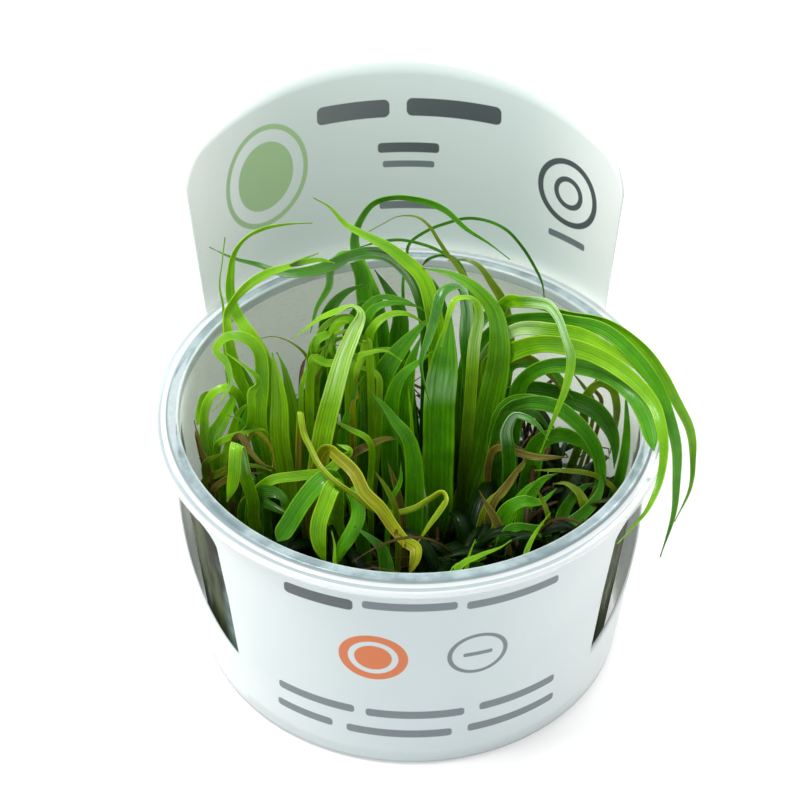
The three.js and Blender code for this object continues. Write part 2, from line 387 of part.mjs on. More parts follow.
// Angles of the wrap's columns on one side, closer together at the window's and the panel's corners
function wrapColumns() {
  const windowCornerEnd = WINDOW_FRONT_ANGLE + WINDOW_CORNER_ANGLE;
  const panelStart = 180 - PANEL_HALF_ANGLE;
  const panelCornerEnd = panelStart + PANEL_CORNER_ANGLE;
  const spread = (from, to, count) => Array.from({ length: count }, (_, i) => blend(from, to, i / count));
  return [
    ...spread(0, WINDOW_FRONT_ANGLE - EDGE_STEP, FRONT_COLUMNS),
    WINDOW_FRONT_ANGLE - EDGE_STEP,
    ...spread(WINDOW_FRONT_ANGLE + EDGE_STEP, windowCornerEnd, WINDOW_CORNER_COLUMNS),
    ...spread(windowCornerEnd, WINDOW_BACK_ANGLE, WINDOW_COLUMNS),
    WINDOW_BACK_ANGLE,
    panelStart - EDGE_STEP,
    ...spread(panelStart + EDGE_STEP, panelCornerEnd, PANEL_CORNER_COLUMNS),
    ...spread(panelCornerEnd, 180, PANEL_COLUMNS),
  ];
}

// The wrap is one closed shell. Each column has four levels, and each level an outer and an inner
// point. Where there is no window, the two middle levels share their points
function makeWrap() {
  const side = wrapColumns();
  const angles = [...side.slice(1).reverse().map((angle) => -angle), ...side, 180];
  const positions = [];
  const indices = [];
  const levels = angles.map((angle) => wrapEdges(angle));
  const place = angles.map((angle, column) => {
    const ids = [];
    for (const [level, height] of levels[column].entries()) {
      const meets = level === 2 && height === levels[column][1];
      for (const inset of [0, WRAP_THICKNESS]) {
        if (!meets) {
          positions.push(...wrapPoint(angle, height, inset));
        }
      }
      const last = positions.length / 3 - 1;
      ids.push([last - 1, last]);
    }
    return ids;
  });
  const quad = (a, b, c, d) => indices.push(a, b, c, a, c, d);
  for (let i = 0; i < angles.length; i += 1) {
    const left = place[i];
    const right = place[(i + 1) % angles.length];
    for (const [low, high] of [[0, 1], [2, 3]]) {
      quad(left[low][0], right[low][0], right[high][0], left[high][0]);
      quad(right[low][1], left[low][1], left[high][1], right[high][1]);
    }
    quad(left[0][1], right[0][1], right[0][0], left[0][0]);
    quad(left[3][0], right[3][0], right[3][1], left[3][1]);
    const open = left[1][0] !== left[2][0] || right[1][0] !== right[2][0];
    if (open) {
      quad(left[1][0], right[1][0], right[1][1], left[1][1]);
      quad(left[2][1], right[2][1], right[2][0], left[2][0]);
    }
  }
  return closedMesh('wrap', 'print', positions, indices);
}

// The root mat: a low mound with a flat underside and lumps of growth on it. Each thicket is a bump,
// its height times the square of 1 minus the squared share of its radius
function matHeight(share, angle) {
  const lumps = ({ count, height, turn }) => height * Math.sin(count * angle + turn) * share;
  const lump = lumps(WIDE_LUMPS) + lumps(SMALL_LUMPS) * (1 - share);
  const dome = blend(MAT_HEIGHT, MAT_EDGE_HEIGHT, share ** MAT_FALL_POWER);
  const x = MAT_RADIUS * share * Math.cos(angle);
  const y = MAT_RADIUS * share * Math.sin(angle);
  const growth = Math.max(...THICKETS.map(({ x: middleX, y: middleY, height, radius }) => {
    const away = Math.min(Math.hypot(x - middleX, y - middleY) / radius, 1);
    return height * (1 - away ** 2) ** 2;
  }));
  return MAT_BOTTOM + dome + growth + lump * (1 - share ** MAT_EDGE_POWER);
}

function makeRootMat() {
  const positions = [0, 0, matHeight(0, 0), 0, 0, MAT_BOTTOM];
  const indices = [];
  for (let ring = 1; ring <= MAT_RINGS; ring += 1) {
    for (let side = 0; side < MAT_SIDES; side += 1) {
      const share = ring / MAT_RINGS;
      const angle = (2 * Math.PI * side) / MAT_SIDES;
      const radius = MAT_RADIUS * share;
      positions.push(radius * Math.cos(angle), radius * Math.sin(angle), matHeight(share, angle));
    }
  }
  const underStart = positions.length / 3;
  for (let side = 0; side < MAT_SIDES; side += 1) {
    const angle = (2 * Math.PI * side) / MAT_SIDES;
    positions.push(MAT_RADIUS * Math.cos(angle), MAT_RADIUS * Math.sin(angle), MAT_BOTTOM);
  }
  const id = (ring, side) => 2 + (ring - 1) * MAT_SIDES + (side % MAT_SIDES);
  const under = (side) => underStart + (side % MAT_SIDES);
  for (let side = 0; side < MAT_SIDES; side += 1) {
    indices.push(0, id(1, side), id(1, side + 1));
    for (let ring = 1; ring < MAT_RINGS; ring += 1) {
      indices.push(id(ring, side), id(ring + 1, side), id(ring + 1, side + 1));
      indices.push(id(ring, side), id(ring + 1, side + 1), id(ring, side + 1));
    }
    indices.push(id(MAT_RINGS, side), under(side), under(side + 1));
    indices.push(id(MAT_RINGS, side), under(side + 1), id(MAT_RINGS, side + 1));
    indices.push(1, under(side + 1), under(side));
  }
  return closedMesh('root_mat', 'roots', positions, indices);
}

// The leaf's width at a share of its run: narrower at the foot, full, then a rounded taper to the tip
function leafWidth(leaf, share) {
  const foot = blend(FOOT_SHARE, 1, THREE.MathUtils.smoothstep(share, 0, FOOT_RUN));
  const past = THREE.MathUtils.clamp((share - leaf.taper) / (1 - leaf.taper), 0, 1);
  return Math.max(leaf.width * foot * (1 - past ** 2), LEAF_TIP_WIDTH);
}

function turnAt(route, share) {
  const step = Math.min(Math.floor(share * (route.length - 1)), route.length - 2);
  const into = share * (route.length - 1) - step;
  return radians(blend(route[step][3] ?? 0, route[step + 1][3] ?? 0, into));
}

// A leaf is a folded blade swept along its route: two thin edges, a keel below and a groove above.
// Where it bends over towards the viewer it goes on untwisted and shows its underside.
// Each quad is split from the thin edge, so that the upper and the lower face can't cross
function makeLeaf(leaf) {
  const points = leaf.route.map(([x, y, z]) => new THREE.Vector3(x, y, z));
  const curve = new THREE.CatmullRomCurve3(points, false, 'centripetal');
  const wanted = Math.round(STATIONS_PER_STEP * (leaf.route.length - 1));
  const stations = THREE.MathUtils.clamp(wanted, FEWEST_STATIONS, MOST_STATIONS);
  const centres = Array.from({ length: stations + 1 }, (_, i) => curve.getPoint(i / stations));
  const runs = [0];
  for (let i = 1; i <= stations; i += 1) {
    runs.push(runs[i - 1] + centres[i].distanceTo(centres[i - 1]));
  }
  const positions = [];
  const indices = [];
  const before = new THREE.Vector3();
  for (let i = 0; i <= stations; i += 1) {
    const run = curve.getTangent(i / stations);
    const across = new THREE.Vector3().crossVectors(run, facing).normalize();
    across.applyAxisAngle(run, turnAt(leaf.route, i / stations));
    if (across.dot(before) < 0) {
      across.negate();
    }
    before.copy(across);
    const face = new THREE.Vector3().crossVectors(across, run);
    const share = runs[i] / runs[stations];
    const half = leafWidth(leaf, share) / 2;
    const thick = Math.min(LEAF_THICKNESS, half) / 2;
    const lift = 2 * half * LEAF_FOLD;
    for (const [side, up] of [[-half, lift], [0, -thick], [half, lift], [0, thick]]) {
      const corner = centres[i].clone().addScaledVector(across, side).addScaledVector(face, up);
      positions.push(corner.x, corner.y, corner.z);
    }
  }
  for (let i = 0; i < stations; i += 1) {
    for (let corner = 0; corner < 4; corner += 1) {
      const a = 4 * i + corner;
      const b = 4 * i + ((corner + 1) % 4);
      if (corner % 2 === 0) {
        indices.push(a, b + 4, b, a, a + 4, b + 4);
      } else {
        indices.push(a, a + 4, b, a + 4, b + 4, b);
      }
    }
  }
  const last = 4 * stations;
  indices.push(0, 1, 3, 1, 2, 3);
  indices.push(last, last + 3, last + 1, last + 1, last + 3, last + 2);
  return closedMesh(leaf.name, leaf.tone, positions, indices);
}

const tub = new THREE.Group();
tub.add(makeCup(), makeWrap(), makeRootMat());
tub.add(...LEAVES.map(makeLeaf));

export default tub;
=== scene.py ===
"""A clear tub of tissue-culture water plant, dressed for its picture.

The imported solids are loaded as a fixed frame. A turned clear cup, a printed wrap, fine folded
leaves, and a mat of roots with low growth replace them, each in the place of its own node.
Sizes are in millimetres in the tables and become metres where a mesh is made.
"""
from __future__ import annotations

import logging
import math
from dataclasses import dataclass
from enum import Enum

import bpy
import numpy as np
from bpy.types import Material, Node, NodeSocket, NodeTree, Object
from mathutils import Matrix, Vector

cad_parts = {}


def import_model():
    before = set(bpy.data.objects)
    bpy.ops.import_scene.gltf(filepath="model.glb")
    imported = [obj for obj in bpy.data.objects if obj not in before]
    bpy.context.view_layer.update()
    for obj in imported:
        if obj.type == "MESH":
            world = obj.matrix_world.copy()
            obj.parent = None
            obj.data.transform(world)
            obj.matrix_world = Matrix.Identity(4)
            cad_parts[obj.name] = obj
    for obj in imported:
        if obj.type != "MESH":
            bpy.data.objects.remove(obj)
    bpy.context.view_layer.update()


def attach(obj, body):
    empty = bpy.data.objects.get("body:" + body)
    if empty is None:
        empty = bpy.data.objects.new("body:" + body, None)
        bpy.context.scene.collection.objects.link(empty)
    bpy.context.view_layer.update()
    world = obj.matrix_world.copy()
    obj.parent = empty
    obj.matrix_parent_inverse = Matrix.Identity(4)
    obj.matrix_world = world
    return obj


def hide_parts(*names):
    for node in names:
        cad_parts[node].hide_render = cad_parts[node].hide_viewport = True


log = logging.getLogger("tub")

MM = 0.001
BODY = "root"
ORIGIN = (0.0, 0.0, 0.0)
EVEN = (1.0, 1.0, 1.0)

Array = np.ndarray
Pair = tuple[float, float]
Triple = tuple[float, float, float]


class Tone(Enum):
    """The finishes a leaf can have. Each value is used in the name of its material."""

    LIME = "lime"
    LIME_PALE = "lime_pale"
    MID = "mid"
    DARK = "dark"
    TWO_TONE = "two_tone"
    GLOSS = "gloss"
    OLIVE = "olive"
    TEAL = "teal"
    YELLOW = "yellow"
    WITHERED = "withered"


@dataclass(frozen=True)
class StrapFinish:
    """Colours and gloss of one kind of leaf.

    face is the lit green, deep the darker green of veins and streaks, edge the thin margin,
    shine the colour of the painted sheen highlights, dry the colour of dead tissue, foot the
    near-black green of the painted shade low in the cup, and light the fresh green of a leaf that is
    paler than the rest of its kind. veins counts them, and patches, streaks, veining, rib, margin and
    flecks say how strongly each shows.
    """

    face: str
    deep: str
    edge: str
    # Painted sheen: the pale colour of a leaf's shine marks.
    shine: str = "#c9ecc0"
    dry: str = "#8a6a1c"
    roughness: float = 0.36
    coat: float = 0.12
    veins: float = 7.0
    glow: float = 0.15
    gloss: float = 0.3
    light: str = "#92cc0c"
    # Painted shade: the near-black green a leaf goes to low in the cup.
    foot: str = "#0b2203"
    patches: float = 0.5
    streaks: float = 0.26
    veining: float = 0.2
    rib: float = 0.3
    margin: float = 0.5
    flecks: float = 0.1


STRAP_FINISHES: dict[Tone, StrapFinish] = {
    Tone.LIME: StrapFinish("#84c006", "#3f8204", "#b0dc24"),
    Tone.LIME_PALE: StrapFinish("#94cc14", "#509a06", "#c4e850", shine="#d6f2b8"),
    Tone.MID: StrapFinish("#56a307", "#226204", "#8cc820"),
    # Dark: a darker green, partly the leaves' own colour and partly painted shade for leaves behind others.
    Tone.DARK: StrapFinish("#3f7e06", "#184404", "#5c9c1c", coat=0.2),
    Tone.TWO_TONE: StrapFinish("#479a06", "#1a5604", "#84c422"),
    Tone.GLOSS: StrapFinish("#48980c", "#1c5406", "#8ccc48", roughness=0.26, coat=0.3, gloss=0.4),
    Tone.OLIVE: StrapFinish("#76940a", "#464e06", "#a0b430", dry="#6a4a14"),
    Tone.TEAL: StrapFinish("#42860c", "#1a4a06", "#84b84c", shine="#7cac5c", coat=0.0, gloss=0.15),
    Tone.YELLOW: StrapFinish("#b0b00c", "#6a560c", "#d4d44c", dry="#7a5a24", coat=0.1, streaks=0.55,
                             foot="#2a1e06"),
    Tone.WITHERED: StrapFinish("#78701c", "#423a0e", "#aca258", dry="#47320c", coat=0.05, roughness=0.6,
                               glow=0.05, foot="#1e1404", streaks=0.6),
}


@dataclass(frozen=True)
class Leaf:
    """One strap leaf.

    width is its widest place in mm and taper the share of its run where it starts to narrow. The
    route runs from foot to tip as (x, y, z) in mm, with the blade's turn in degrees as a fourth
    number where it isn't 0. shine holds marks of painted sheen and dry marks of dead tissue, each as
    (centre share, half length, strength), light says how far the whole leaf goes to its kind's fresh
    green, and shade is the share of the run where the painted shade at its foot ends.
    """

    name: str
    width: float
    taper: float
    tone: Tone
    route: tuple[tuple[float, ...], ...]
    shine: tuple[Triple, ...] = ()
    dry: tuple[Triple, ...] = ()
    light: float = 0.0
    shade: float = 0.46


LEAVES: tuple[Leaf, ...] = (
    Leaf("leaf_left_hook", 2.6, 0.25, Tone.LIME, (
        (-17, 3.5, 11), (-21.5, 2, 35.5), (-22, 2, 46.5), (-23, 2, 53.5), (-25, 3, 57, 10), (-27, 5, 59, 20),
        (-28, 6.5, 61.5, 20), (-28, 7.5, 65, 20), (-27.5, 9, 68, 60), (-25.5, 10, 70.5, 75),
        (-23, 11.5, 71, 50), (-19.5, 12, 71.5, 20), (-15.5, 13, 71, 20))),
    Leaf("leaf_left_thread", 0.9, 0.2, Tone.LIME, (
        (-22, 9, 11), (-28.5, 8, 38.5), (-29.5, 9, 50.5), (-29.5, 10, 56.5), (-30, 11, 60), (-29.5, 12, 64),
        (-29, 13, 68))),
    Leaf("leaf_left_arch", 1.7, 0.75, Tone.LIME_PALE, (
        (-23, 1, 11), (-25, 3, 41.5), (-27, 3, 48.5), (-28, 2, 54.5, 20), (-28.5, 2.5, 58.5, 50),
        (-28.5, 4, 60.5, 60), (-27, 5, 63, 60), (-24.5, 6, 65, 20), (-22, 7, 66), (-19, 8, 66.5),
        (-17, 9, 67), (-14.5, 10, 67.5))),
    Leaf("leaf_left_wave", 2.2, 0.6, Tone.LIME, (
        (-20, -0.5, 11), (-23.5, -2.5, 44), (-23, -1.5, 51.5), (-23.5, -1, 57, 20), (-25.5, -1, 59.5, 40),
        (-28, -2, 60.5, 50), (-29.5, -3, 59, 40), (-28, -4, 57, 30), (-27.5, -5, 54, 40),
        (-28.5, -5, 51.5, 50), (-30.5, -5, 48, 40))),
    Leaf("leaf_left_curl", 1.3, 0.8, Tone.LIME, (
        (-25, -1, 11), (-28.5, 0, 33), (-27, -2, 40, 60), (-25, -4, 44.5, 30), (-24.5, -5, 49, 10),
        (-24.5, -5, 52, 20), (-23.5, -5, 54.5, 50), (-25.5, -5, 57.5, 60), (-28.5, -4, 59.5, 60))),
    Leaf("leaf_left_blade_a", 3.1, 0.7, Tone.MID, (
        (-18, -2.5, 11), (-19, -2, 23), (-19.5, -2, 30.5), (-20.5, -2, 39.5), (-20.5, -1, 47), (-21, 0, 52),
        (-21.5, 1, 55)), light=0.9, shade=0.12),
    Leaf("leaf_left_blade_b", 2.6, 0.55, Tone.DARK, (
        (-15, 1, 11), (-17.5, 1, 22), (-17.5, 1, 30), (-18, 1, 39), (-19, 2, 45.5, 10), (-20, 3, 50.5, 20),
        (-21, 4, 52.5, 30)), light=0.5, shade=0.15),
    Leaf("leaf_left_dark", 2.9, 0.7, Tone.DARK, (
        (-21.5, 3.5, 11), (-23.5, 4, 31.5), (-25, 4.5, 39.5), (-26, 5, 45.5), (-28, 6, 50, 20)), light=0.2),
    Leaf("leaf_left_hang", 1.5, 0.95, Tone.LIME, (
        (-24.5, 5.5, 11), (-27, 3, 32.5), (-26.5, 2, 43, 10), (-28.5, 1, 47.5, 40), (-30.5, 0.5, 47, 40),
        (-32, 0, 44.5, 10), (-32.5, 0, 39.5), (-33, 1, 32))),
    Leaf("leaf_left_broad", 2.6, 0.6, Tone.MID, (
        (-26, 2.5, 11), (-32, 5, 31.5), (-30, 5, 37), (-28.5, 6, 40), (-26.5, 6, 44)), light=0.45,
        shade=0.25),
    Leaf("leaf_left_fold", 2, 0.9, Tone.LIME, (
        (-22, -8, 11), (-24.5, -9, 28.5), (-24.5, -10, 34), (-25.5, -11, 40.5), (-26, -11.6, 45.5),
        (-26.3, -12.4, 48.2), (-26.5, -13.6, 48.3), (-26.7, -14.6, 46), (-27, -15, 43), (-28, -15.5, 39)),
        shine=((0.7, 0.1, 0.6),)),
    Leaf("leaf_front_strap", 2.9, 0.95, Tone.MID, (
        (-12, -4, 11), (-12, -6, 26), (-11.5, -8, 34.5), (-13, -10, 39, 30), (-16.5, -12, 36),
        (-18.5, -13.5, 33), (-20.5, -15, 30)), shade=0.3),
    Leaf("leaf_front_droop", 2.6, 0.85, Tone.LIME, (
        (-9, -7.5, 11), (-11.5, -8, 25.5), (-11.5, -10.4, 34.5), (-11.6, -11.4, 38.5), (-12.1, -13, 39.6),
        (-13, -14.5, 37.8), (-14, -16, 35), (-14, -17, 32), (-13, -17.5, 28)), shade=0.3),
    Leaf("leaf_front_loop", 2.3, 0.85, Tone.MID, (
        (-6, -9, 11), (-7.5, -7, 22.5), (-8.5, -8.5, 32), (-9.2, -9.6, 36, 10), (-9.2, -11, 37.5, 20),
        (-8.4, -12.8, 36.8, 20), (-8, -14.3, 35, 10), (-9, -15.6, 32.6), (-10.5, -16.5, 30),
        (-11.5, -17, 26.5)), shade=0.3),
    Leaf("leaf_front_stub", 1, 0.6, Tone.WITHERED, (
        (-11, -14, 11), (-11, -15, 25.5), (-11.5, -15.5, 29), (-12, -15.5, 32.5)), dry=((1.0, 0.2, 0.7),)),
    Leaf("leaf_cross_strap", 1.6, 0.9, Tone.LIME, (
        (-24, -6, 11), (-26.5, -7, 29, 20), (-24, -9, 35, 30), (-21.5, -9.5, 38, 20), (-17, -8.5, 38),
        (-13, -8, 38.5, 10), (-11, -7, 40, 20), (-9.5, -6.5, 41.5, 40), (-11.5, -6, 42.5, 40))),
    Leaf("leaf_withered_strap", 1, 0.8, Tone.WITHERED, (
        (-26, -4.5, 11), (-28.5, -5, 31), (-27.4, -4.8, 42), (-26.3, -5.8, 43.7), (-25, -7.3, 42.3),
        (-23, -8.5, 40.5), (-21, -8.5, 39.5, 20)), dry=((0.8, 0.2, 0.4),)),
    Leaf("leaf_left_thin", 0.6, 0.8, Tone.YELLOW, (
        (-22.5, -5, 11), (-26, -4.5, 31), (-25.2, -4, 41.5), (-24.2, -4, 43.2), (-23, -4.3, 42.4),
        (-21.5, -5, 39.5), (-21.5, -6, 37.5)), dry=((1.0, 0.3, 0.6),)),
    Leaf("leaf_fold_over", 3.3, 0.45, Tone.LIME_PALE, (
        (-13, -1, 11), (-15, -4, 28.5), (-14.5, -4, 35), (-13.5, -3, 42.5), (-12, -2, 49.5), (-10.5, 0, 55),
        (-9, 2, 58.5, 10), (-8, 4, 60.5, 50), (-9, 5, 61, 70), (-11.5, 5, 60, 50), (-14, 4, 59.5, 50),
        (-16, 3, 58.5, 60), (-18.5, 3, 56, 50)), shine=((0.72, 0.16, 0.55),), shade=0.28),
    Leaf("leaf_long_dying", 1, 0.9, Tone.YELLOW, (
        (-16, -6, 11), (-17.5, -4.5, 34), (-17.2, -4.4, 46), (-17, -5.2, 48.3), (-16.8, -6.4, 47.4),
        (-16.4, -7.4, 45.6, 10), (-15.5, -9, 44.5, 20), (-14, -11.5, 43, 20), (-11.5, -14, 42, 40),
        (-9, -14, 39.5, 40), (-6, -13.5, 36, 30), (-3, -12.5, 34, 10), (0.5, -11.5, 34, 10),
        (3, -11.5, 36, 20), (5, -12.5, 38.5, 60), (5.5, -14, 38.5, 40), (4.5, -15, 37, 20), (3, -16, 35, 30),
        (1, -17, 31.5, 40)), dry=((0.34, 0.08, 0.8),), light=0.8),
    Leaf("leaf_yellow", 2, 0.9, Tone.YELLOW, (
        (-14.5, -5.5, 11), (-15.5, -6, 30), (-13, -7, 42.5, 30), (-11, -9.5, 43, 20), (-8.5, -12, 42),
        (-7, -14, 40), (-4.5, -15, 37.5), (-2.5, -16, 34.5, 10), (-0.5, -17.5, 33, 30), (1, -18.5, 32.5, 20),
        (1, -19.5, 31.5, 10), (0, -20, 28)), dry=((0.4, 0.12, 0.55), (1.0, 0.06, 0.6)), light=0.3),
    Leaf("leaf_tuft_a", 1.8, 0.6, Tone.LIME, (
        (-9, 3, 11), (-9.5, 2, 44.5), (-9.5, 3, 54), (-9.5, 4, 59, 40), (-11.5, 4, 59, 60),
        (-13, 3, 56.5, 30), (-13.5, 2, 53, 10))),
    Leaf("leaf_tuft_b", 2.3, 0.5, Tone.OLIVE, (
        (-13, 4.5, 11), (-17, 2, 36), (-16.5, 2, 42), (-15.5, 2.5, 46.5), (-13.5, 3, 51.5))),
    Leaf("leaf_tuft_c", 1.1, 0.7, Tone.LIME_PALE, (
        (-6.5, 2.5, 11), (-5, 3, 44), (-5.5, 3.8, 48.3, 30), (-9.5, 4.2, 49.6, 50), (-13.5, 2, 52, 50),
        (-15.5, 1.5, 54.5, 50), (-15, 2, 57.5, 30))),
    Leaf("leaf_olive_arch", 1, 0.4, Tone.OLIVE, (
        (-12, 12, 11), (-15, 10, 37), (-16, 9, 45, 10), (-17, 9, 48, 30), (-19.5, 9, 50.5, 50),
        (-22, 10, 50.5, 50), (-24, 10, 50, 50)), dry=((0.95, 0.1, 0.4),)),
    Leaf("leaf_back_droop", 2.6, 0.6, Tone.MID, (
        (-4.5, 10.5, 11), (-6.5, 12, 46), (-7.5, 14, 55), (-8.5, 15, 60.5, 20), (-10.5, 15, 63, 50),
        (-12.5, 14, 61.5, 40), (-13, 13, 58.5, 30), (-15, 12, 54.5, 40), (-16, 11, 50.5, 40))),
    Leaf("leaf_dark_back", 4.2, 0.5, Tone.DARK, (
        (0.5, 11, 11), (-2, 13, 46.5), (-2, 14, 52.5), (-4, 15, 56.5), (-6, 16, 59.5)), shade=0.6),
    Leaf("leaf_high_arch", 2.8, 0.2, Tone.MID, (
        (-2.5, 13, 11), (-4.5, 14, 45.5), (-6, 17, 52.5), (-7.5, 19, 55.5, 10), (-9, 21, 58, 40),
        (-9.5, 22, 60.5, 60), (-8.5, 23, 64, 60), (-6.5, 24, 66.5, 60), (-3, 25, 67, 60), (1, 25, 66.5, 45),
        (5, 25, 64.5, 20), (8.5, 24, 61.5, 15), (12, 23, 59.5, 10), (15.5, 22, 57))),
    Leaf("leaf_olive_back", 1.2, 0.3, Tone.OLIVE, (
        (6, 14, 11), (10, 18, 52), (7, 21, 56.5), (5.5, 22, 58), (4, 23, 60), (2.5, 24, 62, 20),
        (0.5, 25, 63, 40), (-2.5, 25, 63, 50), (-4.5, 24, 62.5, 50), (-7, 23, 61.5, 40))),
    Leaf("leaf_thin_arch", 0.5, 0.9, Tone.TEAL, (
        (3, 16, 11), (-1.5, 20, 52), (-1, 25, 54.5), (-0.5, 27, 56), (2.5, 28, 58), (5.5, 28, 59.5),
        (8.5, 28, 60.5), (12, 28, 60), (15, 27, 59), (17.5, 26, 56.5), (19.5, 25, 53.5), (21, 24, 50.5),
        (21.5, 22.5, 47.5))),
    Leaf("leaf_teal_back", 0.5, 0.9, Tone.TEAL, (
        (9, 15.5, 11), (9.5, 20, 50), (7.5, 24, 54.5), (4.5, 25, 56), (2, 26, 56.5), (-2, 26, 57.5),
        (-5.5, 26, 57), (-9, 25, 56.5))),
    Leaf("leaf_dark_sweep", 2, 0.7, Tone.DARK, (
        (2, 8.5, 11), (2.5, 9, 47), (2, 11, 53.5), (0.5, 13, 58.5, 30), (-1.5, 14, 61.5, 10),
        (-4, 14.5, 63.5), (-7, 14.5, 64), (-10, 14, 63.5), (-13, 13, 62.5, 10), (-16.5, 12, 62, 30),
        (-20, 11, 62.5, 40), (-23.5, 11, 64, 40), (-27.5, 12, 64.5, 45), (-31.5, 13, 66, 40)),
        shine=((0.62, 0.08, 0.35),)),
    Leaf("leaf_tall_point", 3.5, 0.3, Tone.LIME, (
        (4, 6.5, 11), (4.5, 7, 40), (4, 8, 51), (3, 9, 58.5), (1.5, 10.5, 62.5), (-1.5, 12, 65),
        (-4.5, 13.5, 66.5), (-8, 15, 67.5), (-10.5, 16, 68.5), (-13, 17, 71), (-15.5, 18, 72)), shade=0.5),
    Leaf("leaf_side_point", 2.2, 0.4, Tone.MID, (
        (5.5, 10, 11), (6.5, 9, 38.5), (5.5, 10, 49), (5, 11, 56), (3.5, 12, 60), (1, 13, 62.5))),
    Leaf("leaf_crown_droop", 2.3, 0.5, Tone.GLOSS, (
        (8.5, 5.5, 11), (9.5, 6, 41), (8.5, 6, 54), (8, 5, 62, 20), (6.5, 4, 66, 60), (4.5, 3, 65.5, 30),
        (3.5, 1, 63), (2.5, 0, 59, 10), (1.5, -0.5, 55, 40), (2, -1, 51, 60), (3, -1, 46.5, 60)),
        shine=((0.62, 0.09, 0.75),), shade=0.5),
    Leaf("leaf_crown_pale", 2, 0.6, Tone.LIME_PALE, (
        (8, 2, 11), (8.8, 2.8, 30), (9.3, 3, 44), (9.6, 3, 55.5), (10, 3, 62, 10), (8.5, 2, 65.5, 60),
        (6.5, 1, 66, 40), (5.5, 0, 64), (5, 0, 61, 10), (4.5, 0, 57.5, 20)), shine=((0.7, 0.1, 0.4),),
        shade=0.78),
    Leaf("leaf_keel", 5, 0.72, Tone.MID, (
        (3.5, 0.5, 11), (4.5, 1, 19), (4.5, 1.5, 28), (4.5, 2, 36), (4.5, 2.5, 44.5), (5, 3.5, 50.5),
        (5.5, 4.5, 56), (6, 5.5, 59.5)), shine=((0.74, 0.08, 0.2),), shade=0.3),
    Leaf("leaf_keel_right", 4.4, 0.4, Tone.TWO_TONE, (
        (6.5, 3.5, 11), (8, 4, 16.5), (10, 4, 24.5), (11.5, 4.5, 33), (12.5, 5, 41), (13.5, 5.5, 49),
        (13.5, 6, 55), (12.5, 7, 59, 10), (10, 8, 62, 20), (7.5, 9, 63.5, 10), (5, 10, 64), (1.5, 11, 64)),
        light=0.3, shade=0.2),
    Leaf("leaf_blur_back", 2.2, 0.5, Tone.OLIVE, (
        (12, 13, 11), (15.5, 14, 45), (14.5, 15, 53.5), (12.5, 16, 57), (10.5, 17, 59.5, 10),
        (8.5, 18, 60, 20), (5.5, 19, 59, 20))),
    Leaf("leaf_diagonal", 4.2, 0.6, Tone.MID, (
        (-4, 5.5, 11), (-6.5, 5, 40), (-5, 5.5, 45.5), (-2.5, 6.5, 50), (0.5, 8, 53.5), (3, 9, 56)),
        shade=0.5),
    Leaf("leaf_inner_blade", 3.4, 0.6, Tone.MID, (
        (-0.5, 3, 11), (-1.5, 3, 37.5), (-1, 3, 45), (0, 3.5, 51.5), (1.5, 4.5, 56)), shade=0.5),
    Leaf("leaf_dark_tongue", 3.4, 0.4, Tone.DARK, (
        (-0.5, -1.5, 11), (1, -1.5, 30.5), (0, -1, 37), (-2, -1, 41.5), (-4, -1, 45), (-6.5, -0.5, 48.5)),
        shade=0.5),
    Leaf("leaf_gloss_tongue", 3, 0.6, Tone.GLOSS, (
        (0, -5, 11), (1.5, -5, 25), (1, -5, 32), (0.5, -4.5, 36.5), (-0.5, -4, 40.5)),
        shine=((0.7, 0.2, 0.6),), shade=0.45),
    Leaf("leaf_slender", 0.6, 0.7, Tone.LIME, (
        (4, -3.5, 11), (1.5, -3.5, 32.5), (0.5, -3.5, 40), (0, -3.5, 46.5), (-0.5, -3, 52))),
    Leaf("leaf_small_arch", 1.7, 0.6, Tone.LIME, (
        (-1, 7, 11), (-1, 7, 40), (-1.5, 8, 46.5), (-3, 8, 49.5, 30), (-6, 8, 49.5, 40), (-8.5, 7, 49, 40),
        (-10, 6, 48, 40))),
    Leaf("leaf_right_outer", 1.7, 0.7, Tone.LIME, (
        (8, 11, 11), (8, 10.5, 41), (10, 11, 51.5, 20), (13.5, 10, 57.5, 45), (18, 9, 59, 45),
        (23.5, 8, 58, 50), (30, 6, 58, 60), (35.5, 4, 55, 50), (39, 2.5, 50.5, 30), (41.5, 1.5, 45.5),
        (44, 0.5, 40.5), (45, 0, 35, 50), (45, -0.5, 28.5, 55), (43, -1, 21.5, 30)),
        shine=((0.4, 0.1, 0.35),), shade=0.3),
    Leaf("leaf_right_over_rim", 2.2, 0.6, Tone.MID, (
        (10.5, 9, 11), (9, 8, 41.5), (10.5, 8, 51, 20), (14.5, 8, 56, 40), (20, 7, 58, 40),
        (24.5, 6, 58, 40), (29.5, 3.5, 58.5, 30), (34, 0, 56.5, 20), (37.5, -3, 53, 10), (39.5, -5.5, 49),
        (41, -7, 44), (41.5, -8, 37.5), (41.5, -9, 31, 10), (40, -10, 22.5, 20)), shade=0.3),
    Leaf("leaf_right_inner_rim", 3.2, 0.3, Tone.LIME, (
        (12, 4.5, 11), (13.5, 6, 40.5), (12.5, 6.4, 48.5, 10), (15.5, 6, 51.5, 15), (20.5, 3.5, 55.5, 20),
        (26, 1, 56.5, 20), (30.5, -1, 55.5, 10), (34.5, -4, 54, 10), (37, -7, 52.5, 10), (38, -10, 51, 20),
        (38.5, -12.5, 48.5, 35), (38, -15.5, 45, 40), (36, -19.5, 42.5, 40), (33.5, -23, 42, 30),
        (31, -26.5, 42, 20))),
    Leaf("leaf_right_pale", 2.3, 0.7, Tone.LIME_PALE, (
        (11.5, 7, 11), (10.5, 7, 43.5), (12.5, 7, 51.5, 20), (16.5, 6.5, 56, 40), (21.5, 5, 57, 20),
        (26, 4, 57, 10), (30, 1.5, 56.5, 10), (34, 0, 54.5), (37.5, -3, 51.5)), shine=((0.62, 0.12, 0.6),)),
    Leaf("leaf_right_lower", 2.6, 0.95, Tone.MID, (
